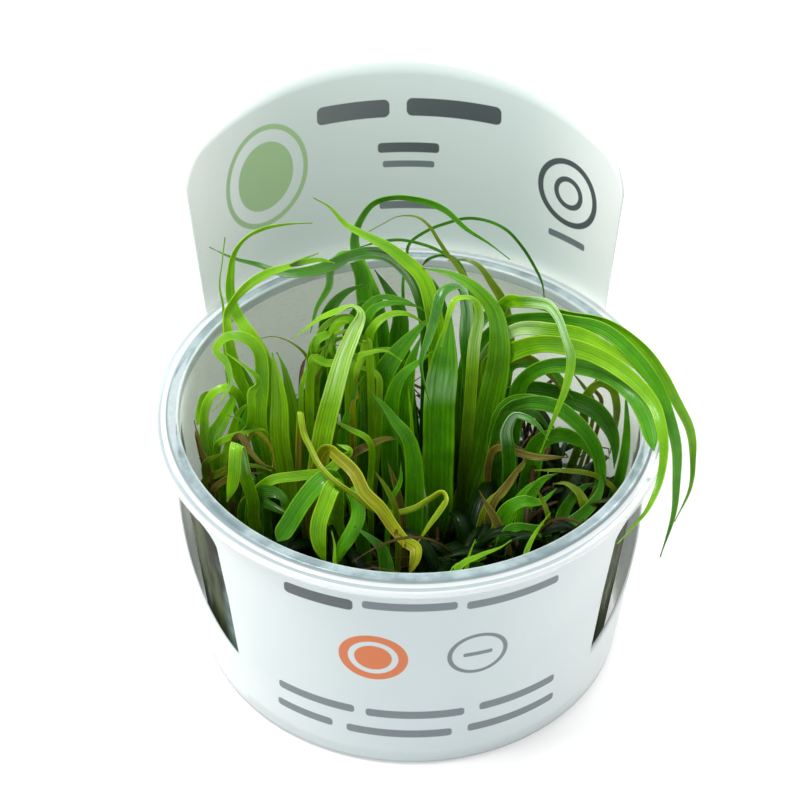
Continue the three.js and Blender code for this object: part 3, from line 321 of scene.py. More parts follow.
        (16, 5, 11), (16.5, 5.5, 38), (17.5, 4.5, 47, 20), (21.5, 3.5, 51, 30), (27, 2, 52, 20),
        (31, -1, 52.5, 10), (34, -4.5, 52), (36, -8, 50), (37, -12, 47.5)), shade=0.45),
    Leaf("leaf_right_under", 3, 0.75, Tone.DARK, (
        (15, 8.5, 11), (13, 8, 33), (15, 8, 40, 20), (19.5, 8, 42, 30), (24.5, 8, 40.5, 20),
        (29.5, 7, 38.5, 10), (32, 6, 35.5, 10), (33, 5, 32.5, 20), (33, 4, 28.5, 30)), shade=0.4),
    Leaf("leaf_right_curve", 2.4, 0.5, Tone.TEAL, (
        (13.2, 2.6, 11), (13.4, 2.6, 30), (14, 2.6, 37), (15.5, 2, 43, 20), (18.5, 1, 45.5, 30),
        (22.5, 0, 45.5, 10), (26, -1, 43), (28.5, -2, 40), (30, -3, 36, 20), (30, -4.5, 32.5, 30),
        (28.5, -6, 29.5, 20), (25, -7, 27, 30), (20.5, -7, 25, 40), (16, -6, 24, 40)),
        shine=((0.4, 0.15, 0.12),), shade=0.3),
    Leaf("leaf_right_hang", 2, 0.6, Tone.LIME, (
        (10.8, 12.6, 11), (11.3, 12.4, 38), (13.2, 11, 49), (13.5, 9, 57, 10), (14.8, 6.2, 61.8, 30),
        (16.5, 3.5, 64, 40), (18.5, 1, 66, 40), (20.5, -1, 67, 40), (22, -2.8, 66, 45), (23, -4.5, 64, 50),
        (24, -5.5, 60.5, 20), (23.5, -6.5, 56), (22, -7.5, 50.5, 10), (20, -8.5, 43.5, 20)),
        shine=((0.72, 0.1, 0.6),), shade=0.5),
    Leaf("leaf_right_olive", 1.8, 0.6, Tone.OLIVE, (
        (13.5, 11, 11), (13, 9, 38.5), (15, 9, 46.5, 20), (18.5, 8.5, 48, 30), (21.5, 8, 45.5, 10),
        (25, 7, 41))),
    Leaf("leaf_right_gloss", 2.2, 0.6, Tone.GLOSS, (
        (16.5, -1.5, 11), (15.6, -1.5, 36), (15, -1.5, 42, 15), (16.5, -2, 45.5, 40), (19.5, -3, 44.5, 10),
        (21.5, -4, 42)), shine=((0.78, 0.14, 0.6),), shade=0.8),
    Leaf("leaf_right_low", 3.2, 0.6, Tone.MID, (
        (18, 1, 11), (19.5, 3, 29), (20.5, 4, 34, 20), (24, 4, 36, 30), (27.5, 4, 34, 20),
        (30, 3, 30.5, 20)), shade=0.6),
    Leaf("leaf_right_wall", 1.4, 0.7, Tone.OLIVE, (
        (23, 8, 11), (28, 9, 32), (28, 9, 39.5), (30, 9.5, 42, 40), (32, 9, 41.5, 30), (33, 8.5, 38.5, 10),
        (33, 8, 33), (32.5, 7.5, 28.5)), dry=((0.1, 0.2, 0.6),)),
)


def linear(code: str) -> tuple[float, float, float, float]:
    """Turns a colour such as #8cc410 into linear values.

    Args:
        code: the colour as a screen shows it.

    Returns:
        Red, green, blue and alpha 1, each channel brought to linear light.
    """
    values = [int(code[i:i + 2], 16) / 255 for i in (1, 3, 5)]
    low = [v / 12.92 if v <= 0.04045 else ((v + 0.055) / 1.055) ** 2.4 for v in values]
    return (low[0], low[1], low[2], 1.0)


def smooth(value: Array, start: float, end: float) -> Array:
    """Goes from 0 at start to 1 at end with a smooth S: t squared times (3 minus 2 t)."""
    t = np.clip((value - start) / (end - start), 0.0, 1.0)
    return t * t * (3.0 - 2.0 * t)


def unit(vectors: Array) -> Array:
    """Each vector divided by its own length."""
    return vectors / np.maximum(np.linalg.norm(vectors, axis=-1, keepdims=True), 1e-12)


# Meshes


def make_mesh(name: str, points: Array, faces: list[Array], smooth_faces: bool = True) -> Object:
    """Puts points and faces into a new object at the origin.

    Args:
        name: the object's name.
        points: an array of places in mm, one row each.
        faces: arrays of point numbers, one row for each face, with three or four columns.
        smooth_faces: whether the faces are shaded smooth.

    Returns:
        The new object, linked to the scene.
    """
    mesh = bpy.data.meshes.new(name)
    loops = np.concatenate([part.ravel() for part in faces]).astype(np.int32)
    totals = np.concatenate([np.full(len(part), part.shape[1], np.int32) for part in faces])
    starts = np.concatenate([[0], np.cumsum(totals)[:-1]]).astype(np.int32)
    mesh.vertices.add(len(points))
    mesh.vertices.foreach_set("co", (points * MM).astype(np.float32).ravel())
    mesh.loops.add(len(loops))
    mesh.loops.foreach_set("vertex_index", loops)
    mesh.polygons.add(len(totals))
    mesh.polygons.foreach_set("loop_start", starts)
    mesh.polygons.foreach_set("use_smooth", np.full(len(totals), smooth_faces))
    mesh.update(calc_edges=True)
    mesh.validate()
    piece = bpy.data.objects.new(name, mesh)
    bpy.context.scene.collection.objects.link(piece)
    return piece


def set_uv(piece: Object, name: str, values: Array) -> None:
    """Gives a mesh a UV map.

    Args:
        piece: the mesh.
        name: the map's name.
        values: one pair of numbers for each of its points.
    """
    mesh = piece.data
    index = np.empty(len(mesh.loops), np.int32)
    mesh.loops.foreach_get("vertex_index", index)
    layer = mesh.uv_layers.new(name=name)
    layer.data.foreach_set("uv", values[index].astype(np.float32).ravel())


def set_value(piece: Object, name: str, values: Array) -> None:
    """Gives a mesh a named value for each of its points."""
    layer = piece.data.attributes.new(name, "FLOAT", "POINT")
    layer.data.foreach_set("value", values.astype(np.float32).ravel())


def ring_faces(rings: int, around: int, first: int = 0) -> Array:
    """Quads between closed rings of points that follow one another.

    Face (i, j) joins point j of ring i, point j of ring i + 1, and their next neighbours.

    Args:
        rings: how many rings there are.
        around: how many points each ring has.
        first: the number of the first point.

    Returns:
        Four point numbers for each face.
    """
    i, j = np.meshgrid(np.arange(rings - 1), np.arange(around), indexing="ij")
    after = (j + 1) % around
    low = first + i * around
    high = low + around
    return np.stack([low + j, low + after, high + after, high + j], -1).reshape(-1, 4)


def arc(centre: Pair, radius: float, start: float, end: float, count: int) -> list[tuple]:
    """Points of a circular arc in a lathe profile, as (radius, height), from start to end degrees."""
    angles = np.radians(np.linspace(start, end, count))
    return [(centre[0] + radius * math.cos(a), centre[1] + radius * math.sin(a)) for a in angles]


def line(start: Pair, end: Pair, shares: Array) -> list[tuple]:
    """Points of a straight stretch in a lathe profile, at these shares of its run."""
    return [tuple(a + (b - a) * share for a, b in zip(start, end)) for share in shares]


def close_rings(name: str, rings: Array, poles: list[list[float]], flip: bool = False) -> Object:
    """Joins rings of points, with a pole before the first and after the last, into a closed solid.

    Args:
        name: the object's name.
        rings: places in mm, by ring and by number round it.
        poles: the places of the two poles.
        flip: whether the rings run the other way, from the top outwards and down.

    Returns:
        The new object.
    """
    count, sides = rings.shape[:2]
    low = count * sides
    last = low - sides
    j = np.arange(sides)
    after = (j + 1) % sides
    under = np.stack([np.full(sides, low), after, j], -1)
    top = np.stack([np.full(sides, low + 1), last + j, last + after], -1)
    faces = [ring_faces(count, sides), under, top]
    if flip:
        faces = [part[:, ::-1] for part in faces]
    return make_mesh(name, np.vstack([rings.reshape(-1, 3), poles]), faces)


def lathe(name: str, profile: list[Pair], sides: int) -> Object:
    """Turns a profile that starts and ends on the axis into one closed solid.

    A point at angle a and profile row (r, h) lies at (r cos a, r sin a, h).

    Args:
        name: the solid's name.
        profile: its (radius, height) rows in mm, from the bottom round to the top.
        sides: how many sides it has.

    Returns:
        The new object.
    """
    rows = np.array(profile[1:-1])
    angles = np.arange(sides) * (2 * math.pi / sides)
    x = rows[:, :1] * np.cos(angles)
    y = rows[:, :1] * np.sin(angles)
    z = np.repeat(rows[:, 1:], sides, axis=1)
    return close_rings(name, np.stack([x, y, z], -1), [[0, 0, profile[0][1]], [0, 0, profile[-1][1]]])


def catmull_rom(points: Array, shares: Array) -> tuple[Array, Array]:
    """Follows a centripetal Catmull-Rom curve that meets each given point.

    Each end is carried on by its own last step. A step counts with the square root of its length.
    The slope at a point is the slope of the step before, less that of both steps together, plus
    that of the step after, and a cubic joins the two slopes of each step.

    Args:
        points: the route, one row for each point.
        shares: places along the route, 0 at its foot and 1 at its tip, in equal steps per point.

    Returns:
        Places and unit directions, one row for each share.
    """
    steps = len(points) - 1
    padded = np.vstack([2 * points[0] - points[1], points, 2 * points[-1] - points[-2]])
    scaled = np.clip(shares * steps, 0, steps)
    step = np.minimum(scaled.astype(int), steps - 1)
    t = (scaled - step)[:, None]
    before, start, end, after = (padded[step + k] for k in range(4))
    first, middle, last = (np.sqrt(np.linalg.norm(b - a, axis=1, keepdims=True))
                           for a, b in ((before, start), (start, end), (end, after)))
    chord = (end - start) / middle
    leave = middle * ((start - before) / first - (end - before) / (first + middle) + chord)
    reach = middle * (chord - (after - start) / (middle + last) + (after - end) / last)
    cubic = 2 * start - 2 * end + leave + reach
    square = -3 * start + 3 * end - 2 * leave - reach
    places = ((cubic * t + square) * t + leave) * t + start
    runs = (3 * cubic * t + 2 * square) * t + leave
    return places, unit(runs)


# Materials


class Sheet:
    """A material's or group's node tree, with short ways to add and join its nodes."""

    def __init__(self, tree: NodeTree) -> None:
        """Keeps the tree and empties it."""
        self.tree = tree
        tree.nodes.clear()

    def add(self, kind: str, inputs: dict | None = None, **settings: object) -> Node:
        """Adds a node.

        Args:
            kind: its Blender type.
            inputs: what goes into its sockets, by name or number.
            settings: its own properties, which are set first.

        Returns:
            The node.
        """
        node = self.tree.nodes.new(kind)
        for name, value in settings.items():
            setattr(node, name, value)
        for name, value in (inputs or {}).items():
            self.feed(node.inputs[name], value)
        return node

    def feed(self, socket: NodeSocket, value: object) -> None:
        """Joins a value to a socket.

        Args:
            socket: the input.
            value: an output, which is linked, or a number, a vector or a colour's code, which is set.
        """
        if isinstance(value, NodeSocket):
            self.tree.links.new(value, socket)
        else:
            socket.default_value = linear(value) if isinstance(value, str) else value

    def math(self, operation: str, first: object, second: object = 0.0, clamp: bool = False) -> object:
        """One arithmetic step."""
        node = self.add("ShaderNodeMath", {0: first, 1: second}, operation=operation, use_clamp=clamp)
        return node.outputs[0]

    def times(self, first: object, second: object, clamp: bool = False) -> object:
        """One value multiplied by another."""
        return self.math("MULTIPLY", first, second, clamp)

    def vector(self, operation: str, first: object, second: object = ORIGIN) -> object:
        """One vector step."""
        return self.add("ShaderNodeVectorMath", {0: first, 1: second}, operation=operation).outputs[0]

    def length(self, place: object) -> object:
        """The length of a vector."""
        return self.add("ShaderNodeVectorMath", {0: place}, operation="LENGTH").outputs["Value"]

    def ramp(self, value: object, start: float, end: float, low: float = 0.0, high: float = 1.0) -> object:
        """Maps value from start..end to low..high with a smooth S."""
        ends = {"Value": value, "From Min": start, "From Max": end, "To Min": low, "To Max": high}
        return self.add("ShaderNodeMapRange", ends, interpolation_type="SMOOTHSTEP").outputs["Result"]

    def ramp_mm(self, value: object, start: float, end: float) -> object:
        """Maps a length from start..end, both in mm, to 0..1 with a smooth S."""
        return self.ramp(value, start * MM, end * MM)

    def band(self, value: object, rise: Pair, fall: Pair) -> object:
        """A length's band in mm: from 0 up to 1 over the rise and back to 0 over the fall."""
        return self.math("SUBTRACT", self.ramp_mm(value, *rise), self.ramp_mm(value, *fall))

    def mix(self, share: object, first: object, second: object) -> object:
        """Blends two colours."""
        return self.add("ShaderNodeMix", {0: share, 6: first, 7: second}, data_type="RGBA").outputs[2]

    def tint(self, colour: object, share: object, strength: float, towards: str) -> object:
        """Blends a colour towards another by share times strength."""
        return self.mix(self.times(share, strength), colour, towards)

    def noise(self, scale: float, detail: float, where: object = None, stretch: Triple = EVEN) -> object:
        """Noise with its mean near one half.

        Args:
            scale: how fine it is.
            detail: how many finer sizes it holds.
            where: the place it is read at, or else the place on the tub.
            stretch: what the parts of that place are multiplied by.

        Returns:
            Its value.
        """
        place = where if where is not None else self.body()
        if stretch != EVEN:
            place = self.vector("MULTIPLY", place, stretch)
        return self.add("ShaderNodeTexNoise", {"Vector": place, "Scale": scale, "Detail": detail}).outputs[0]

    def body(self) -> object:
        """The place on the tub, in metres."""
        return self.add("ShaderNodeTexCoord").outputs["Object"]

    def uv(self, name: str) -> object:
        """The place on a named UV map."""
        return self.add("ShaderNodeUVMap", uv_map=name).outputs[0]

    def value(self, name: str) -> object:
        """A value that the mesh holds for each point."""
        return self.add("ShaderNodeAttribute", attribute_name=name).outputs["Fac"]

    def split(self, place: object) -> list:
        """The three parts of a vector."""
        return list(self.add("ShaderNodeSeparateXYZ", {0: place}).outputs)

    def bump(self, height: object, distance: float, strength: float) -> object:
        """A normal from a height."""
        levels = {"Height": height, "Distance": distance, "Strength": strength}
        return self.add("ShaderNodeBump", levels).outputs[0]

    def surface(self, **values: object) -> None:
        """Ends a material in one Principled shader with these socket values, spaces as underscores."""
        shader = self.add("ShaderNodeBsdfPrincipled", spaced(values))
        self.add("ShaderNodeOutputMaterial", {0: shader.outputs[0]})

    def place_group(self, group: NodeTree, **values: object) -> Node:
        """Places a group with these socket values, spaces as underscores."""
        return self.add("ShaderNodeGroup", spaced(values), node_tree=group)


def spaced(values: dict[str, object]) -> dict[str, object]:
    """The same values with spaces for the underscores in their names."""
    return {name.replace("_", " "): value for name, value in values.items()}


def new_material(name: str) -> tuple[Material, Sheet]:
    """Makes a material that nodes describe.

    Args:
        name: the material's name.

    Returns:
        The material and its sheet.
    """
    material = bpy.data.materials.new(name)
    material.use_nodes = True
    return material, Sheet(material.node_tree)


def new_group(name: str, inputs: dict[str, object], outputs: tuple[str, ...]) -> tuple:
    """A node group with named inputs and outputs.

    Args:
        name: the group's name.
        inputs: each input's name with its starting value, a number or three numbers.
        outputs: the names of its outputs, all single values.

    Returns:
        The group, its sheet, its input sockets by name and its output node.
    """
    group = bpy.data.node_groups.new(name, "ShaderNodeTree")
    sheet = Sheet(group)
    for label, start in inputs.items():
        kind = "NodeSocketVector" if isinstance(start, tuple) else "NodeSocketFloat"
        socket = group.interface.new_socket(name=label, in_out="INPUT", socket_type=kind)
        socket.default_value = start
    for label in outputs:
        group.interface.new_socket(name=label, in_out="OUTPUT", socket_type="NodeSocketFloat")
    entry = sheet.add("NodeGroupInput")
    leave = sheet.add("NodeGroupOutput")
    return group, sheet, entry.outputs, leave.inputs


class Effects:
    """The shared effects, each one a node group that is built once."""

    def __init__(self) -> None:
        """Builds every group."""
        self.veins = self.make_veins()
        self.bar = self.make_bar()
        self.ring = self.make_ring()
        self.mottle = self.make_mottle()

    def make_veins(self) -> NodeTree:
        """Long veins, middle rib and thin margin of a strap, from its UV map.

        A vein is a cosine across the strap. The rib is a narrow band at the middle, and the
        margin a band at both sides.

        Returns:
            The group.
        """
        group, sheet, entry, leave = new_group(
            "strap_veins", {"Place": ORIGIN, "Count": 7.0, "Margin": 0.1}, ("Vein", "Rib", "Margin"))
        across = sheet.split(entry["Place"])[0]
        wave = sheet.math("COSINE", sheet.times(sheet.times(across, entry["Count"]), 2 * math.pi))
        aside = sheet.math("ABSOLUTE", sheet.math("SUBTRACT", across, 0.5))
        inner = sheet.math("SUBTRACT", 0.5, entry["Margin"])
        sheet.feed(leave["Vein"], sheet.ramp(wave, 0.1, 1.0))
        sheet.feed(leave["Rib"], sheet.ramp(aside, 0.07, 0.0))
        sheet.feed(leave["Margin"], sheet.ramp(aside, inner, 0.5))
        return group

    def make_bar(self) -> NodeTree:
        """A printed bar with round corners.

        The distance outside a box that is smaller by the corner is measured, and all within the
        corner's size is ink.

        Returns:
            The group.
        """
        group, sheet, entry, leave = new_group(
            "print_bar", {"Place": ORIGIN, "Centre": ORIGIN, "Half": (0.01, 0.01, 0.0), "Corner": 0.002,
                          "Soft": 0.0006}, ("Ink",))
        off = sheet.vector("ABSOLUTE", sheet.vector("SUBTRACT", entry["Place"], entry["Centre"]))
        far = sheet.length(sheet.vector("MAXIMUM", sheet.vector("SUBTRACT", off, entry["Half"]), ORIGIN))
        outside = sheet.math("ADD", entry["Corner"], entry["Soft"])
        sheet.feed(leave["Ink"], sheet.ramp(far, outside, entry["Corner"]))
        return group

    def make_ring(self) -> NodeTree:
        """A printed ring or dot: ink within half a line of the radius from its centre.

        Returns:
            The group.
        """
        group, sheet, entry, leave = new_group(
            "print_ring", {"Place": ORIGIN, "Centre": ORIGIN, "Stretch": (1.0, 1.0, 0.0),
                           "Radius": 0.05, "Line": 0.008, "Soft": 0.0006}, ("Ink",))
        off = sheet.vector("SUBTRACT", entry["Place"], entry["Centre"])
        far = sheet.length(sheet.vector("MULTIPLY", off, entry["Stretch"]))
        gap = sheet.math("ABSOLUTE", sheet.math("SUBTRACT", far, entry["Radius"]))
        half = sheet.times(entry["Line"], 0.5)
        sheet.feed(leave["Ink"], sheet.ramp(gap, sheet.math("ADD", half, entry["Soft"]), half))
        return group

    def make_mottle(self) -> NodeTree:
        """Uneven patches: noise on the given place, drawn out to fill 0 to 1.

        Returns:
            The group.
        """
        group, sheet, entry, leave = new_group(
            "mottle", {"Place": ORIGIN, "Scale": 150.0, "Low": 0.35, "High": 0.65}, ("Patch",))
        node = sheet.add("ShaderNodeTexNoise", {"Vector": entry["Place"], "Scale": entry["Scale"]})
        sheet.feed(leave["Patch"], sheet.ramp(node.outputs[0], entry["Low"], entry["High"]))
        return group


def strap_material(finish: StrapFinish, name: str, effects: Effects) -> Material:
    """The leaf tissue of one finish.

    Patches and long streaks of deep green, darker veins and rib, a pale margin, then the fresh
    green, the painted shade at the foot, the streaky painted sheen highlights and the dead places
    that the leaf's own values mark. Veins also raise the surface a little.

    Args:
        finish: its colours and gloss.
        name: the material's name.
        effects: the shared effects.

    Returns:
        The material.
    """
    material, sheet = new_material(name)
    place = sheet.uv("strap")
    body = sheet.body()
    veins = sheet.place_group(effects.veins, Place=place, Count=finish.veins, Margin=0.12)
    patch = sheet.place_group(effects.mottle, Place=body, Scale=170.0, Low=0.38, High=0.7).outputs[0]
    fleck = sheet.place_group(effects.mottle, Place=body, Scale=900.0, Low=0.55, High=0.75).outputs[0]
    drawn = sheet.vector("MULTIPLY", place, (6.0, 1.6, 0.0))
    shifted = sheet.vector("ADD", drawn, sheet.vector("MULTIPLY", body, (60.0, 60.0, 60.0)))
    streak = sheet.place_group(effects.mottle, Place=shifted, Scale=1.0, Low=0.4, High=0.62).outputs[0]
    colour = sheet.tint(finish.face, patch, finish.patches, finish.deep)
    colour = sheet.mix(sheet.value("light"), colour, finish.light)
    colour = sheet.tint(colour, streak, finish.streaks, finish.deep)
    colour = sheet.tint(colour, veins.outputs["Vein"], finish.veining, finish.deep)
    colour = sheet.tint(colour, veins.outputs["Rib"], finish.rib, finish.deep)
    colour = sheet.tint(colour, veins.outputs["Margin"], finish.margin, finish.edge)
    colour = sheet.tint(colour, fleck, finish.flecks, finish.edge)
    # Painted shade: towards its foot the leaf goes to the finish's near-black green, by its shade value.
    colour = sheet.mix(sheet.value("shade"), colour, finish.foot)
    # Painted sheen: pale streaky highlights where the leaf's shine marks lie.
    film_and_painted_sheen = sheet.times(sheet.value("shine"), sheet.math("SUBTRACT", 1.15, streak), clamp=True)
    colour = sheet.mix(film_and_painted_sheen, colour, finish.shine)
    dead = sheet.times(sheet.value("dry"), sheet.math("ADD", streak, 0.35), clamp=True)
    colour = sheet.mix(dead, colour, finish.dry)
    rough = sheet.ramp(streak, 0.0, 1.0, finish.roughness - 0.06, finish.roughness + 0.12)
    relief = sheet.math("ADD", veins.outputs["Vein"], sheet.times(patch, 0.5))
    sheet.surface(Base_Color=colour, Roughness=rough, Normal=sheet.bump(relief, 0.0001, 0.7),
                  Coat_Weight=finish.coat, Coat_Roughness=0.16, Subsurface_Weight=finish.glow,
                  Subsurface_Radius=(0.5, 1.0, 0.08), Subsurface_Scale=0.0012,
                  Specular_IOR_Level=finish.gloss)
    return material


# The leaves


@dataclass
class LeafTuft:
    """Strap leaves, each a folded blade swept along its own route."""

    leaves: tuple[Leaf, ...] = LEAVES
    small: bool = False
    facing_elevation: float = 42.0
    thickness: float = 0.28
    edge_share: float = 0.35
    fold: float = 0.14
    foot_share: float = 0.5
    foot_run: float = 0.25
    tip_width: float = 0.2
    stations_per_step: float = 1.5
    fewest_stations: int = 8
    most_stations: int = 20
    rows_per_step: int = 7
    columns: int = 9
    fold_power: float = 1.3
    ripple: float = 0.055
    long_wave: float = 26.0
    short_wave: float = 61.0
    short_height: float = 0.6
    # How dark the painted shade makes each leaf's foot.
    painted_foot_shade: float = 0.84
    foot_dry: float = 0.5
    foot_dry_run: float = 0.18

    def widths(self, leaf: Leaf, share: Array) -> Array:
        """Width along a leaf: half at the foot, full after a quarter, then falling with past squared.

        Args:
            leaf: the leaf.
            share: places along it.

        Returns:
            The width at each place, in mm.
        """
        foot = self.foot_share + (1 - self.foot_share) * smooth(share, 0.0, self.foot_run)
        past = np.clip((share - leaf.taper) / (1 - leaf.taper), 0.0, 1.0)
        return np.maximum(leaf.width * foot * (1 - past ** 2), self.tip_width)

    def stations_across(self, leaf: Leaf, route: Array) -> tuple[Array, Array]:
        """Directions across the blade at a few stations.

        The blade lies across its run and faces a viewer in front and above, then turns about the
        run by the route's fourth number. Where that would turn it round between two stations, it
        goes on as it was and shows its underside.

        Args:
            leaf: the leaf.
            route: its points without their turns.

        Returns:
            The stations' shares and their directions.
        """
        steps = len(route) - 1
        wanted = math.floor(self.stations_per_step * steps + 0.5)
        shares = np.linspace(0, 1, min(max(wanted, self.fewest_stations), self.most_stations) + 1)
        _, run = catmull_rom(route, shares)
        up = math.radians(self.facing_elevation)
        flat = unit(np.cross(run, np.array([0.0, -math.cos(up), math.sin(up)])))
        turns = np.radians([point[3] if len(point) > 3 else 0.0 for point in leaf.route])
        turn = np.interp(shares * steps, np.arange(steps + 1), turns)[:, None]
        across = flat * np.cos(turn) + np.cross(run, flat) * np.sin(turn)
        agrees = np.where(np.sum(across[1:] * across[:-1], axis=1) < 0, -1.0, 1.0)
        signs = np.concatenate([[1.0], np.cumprod(agrees)])
        return shares, across * signs[:, None]

    def frame(self, leaf: Leaf) -> tuple[Array, ...]:
        """Places along a leaf with its directions, blended between its stations and square to its run.

        Args:
            leaf: the leaf.

        Returns:
            Centres, across, face and the share of the length run, one row for each place.
        """
        route = np.array([point[:3] for point in leaf.route], float)
        marks, aside = self.stations_across(leaf, route)
        shares = np.linspace(0, 1, self.rows_per_step * (len(route) - 1) + 1)
        centre, run = catmull_rom(route, shares)
        across = np.stack([np.interp(shares, marks, aside[:, axis]) for axis in range(3)], -1)
        across = unit(across - run * np.sum(across * run, axis=1, keepdims=True))
        length = np.concatenate([[0.0], np.cumsum(np.linalg.norm(np.diff(centre, axis=0), axis=1))])
        return centre, across, np.cross(across, run), length / length[-1]

    def blade(self, leaf: Leaf, seed: int) -> tuple[Array, list[Array], Array]:
        """The closed skin of one leaf.

        Across the blade the side s runs from -1 to 1. A point lies at half the width times s along
        across, and at the fold's height times |s| to the fold's power along face, with a ripple
        that grows to the margins. The lower skin is the upper one set down by the thickness, which
        falls to a third at the margins.

        Args:
            leaf: the leaf.
            seed: the seed of its ripple.

        Returns:
            Points, faces, and how far across and along the blade every point is, from 0 to 1.
        """
        centre, across, face, share = self.frame(leaf)
        width = self.widths(leaf, share)[:, None]
        side = np.sin(np.linspace(-1, 1, self.columns) * math.pi / 2)[None, :]
        wander = np.random.default_rng(seed).uniform(0, 2 * math.pi, 2)
        along = share[:, None]
        wave = np.sin(along * self.long_wave + wander[0])
        wave = wave + self.short_height * np.sin(along * self.short_wave + wander[1] + side)
        rippled = self.ripple * wave * side ** 2 * np.sign(side + 0.1)
        height = width * (self.fold * np.abs(side) ** self.fold_power + rippled)
        thick = np.minimum(self.thickness, 0.5 * width) * (1 - (1 - self.edge_share) * side ** 2)
        base = centre[:, None] + across[:, None] * (0.5 * width * side)[..., None]
        over = base + face[:, None] * (height + 0.5 * thick)[..., None]
        under = base + face[:, None] * (height - 0.5 * thick)[..., None]
        skin = np.concatenate([over, under[:, ::-1]], axis=1)
        rows, around = skin.shape[:2]
        points = skin.reshape(-1, 3)
        j = np.arange(self.columns - 1)
        start = np.stack([j, around - 1 - j, around - 2 - j, j + 1], -1)
        end = start[:, ::-1] + (rows - 1) * around
        u = np.concatenate([side[0], side[0, ::-1]]) * 0.5 + 0.5
        pairs = np.stack(np.broadcast_arrays(u[None, :], along), -1).reshape(-1, 2)
        return points, [ring_faces(rows, around)[:, ::-1], start, end], pairs

    @staticmethod
    def marks(share: Array, marks: tuple[Triple, ...]) -> Array:
        """Strength of the given marks: each falls smoothly from its centre to its half length.

        Args:
            share: places along the leaf.
            marks: each mark's centre, half length and strength.

        Returns:
            The strongest mark at each place.
        """
        total = np.zeros_like(share)
        for centre, half, strength in marks:
            total = np.maximum(total, strength * smooth(np.abs(share - centre), half, 0.25 * half))
        return total

    @staticmethod
    def neighbour(strap: Leaf) -> str:
        """The large leaf beside a small strap.

        Args:
            strap: the small strap.

        Returns:
            The name of the leaf whose route comes closest to the strap's tip.
        """
        tip = np.array(strap.route[-1][:3])
        gaps = {leaf.name: min(np.linalg.norm(np.array(point[:3]) - tip) for point in leaf.route)
                for leaf in LEAVES}
        return min(gaps, key=gaps.get)

    def build(self, effects: Effects) -> None:
        """Makes every leaf in the place of its own node, or of its neighbour's where it is small.

        Args:
            effects: the shared effects.
        """
        dressed: dict[Tone, Material] = {}
        for number, leaf in enumerate(self.leaves):
            if leaf.tone not in dressed:
                name = f"{'low_' if self.small else ''}{leaf.tone.value}_tissue"
                dressed[leaf.tone] = strap_material(STRAP_FINISHES[leaf.tone], name, effects)
            points, faces, pairs = self.blade(leaf, number)
            share = pairs[:, 1]
            piece = make_mesh(f"{leaf.name}_blade", points, faces)
            set_uv(piece, "strap", pairs)
            set_value(piece, "light", np.full(len(points), leaf.light))
            # Painted shade: each leaf darkens to near-black from its shade share down to its foot.
            set_value(piece, "shade", self.painted_foot_shade * smooth(share, leaf.shade, 0.25 * leaf.shade))
            set_value(piece, "shine", self.marks(share, leaf.shine))
            dead_foot = self.foot_dry * smooth(share, self.foot_dry_run, 0.0)
            set_value(piece, "dry", np.maximum(self.marks(share, leaf.dry), dead_foot))
            node = self.neighbour(leaf) if self.small else leaf.name
            settle(piece, node, leaf.tone.value, dressed[leaf.tone])


def settle(piece: Object, node: str, slot: str, *materials: Material) -> None:
    """Dresses a piece and lets it ride on the tub in the place of a node.

    Args:
        piece: the finished mesh.
        node: the name of the node it stands for.
        slot: not used.
        materials: what it is dressed in.
    """
    for material in materials:
        piece.data.materials.append(material)
    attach(piece, BODY)
    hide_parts(node)
    log.info("%s stands for %s", piece.name, node)


# The clear cup


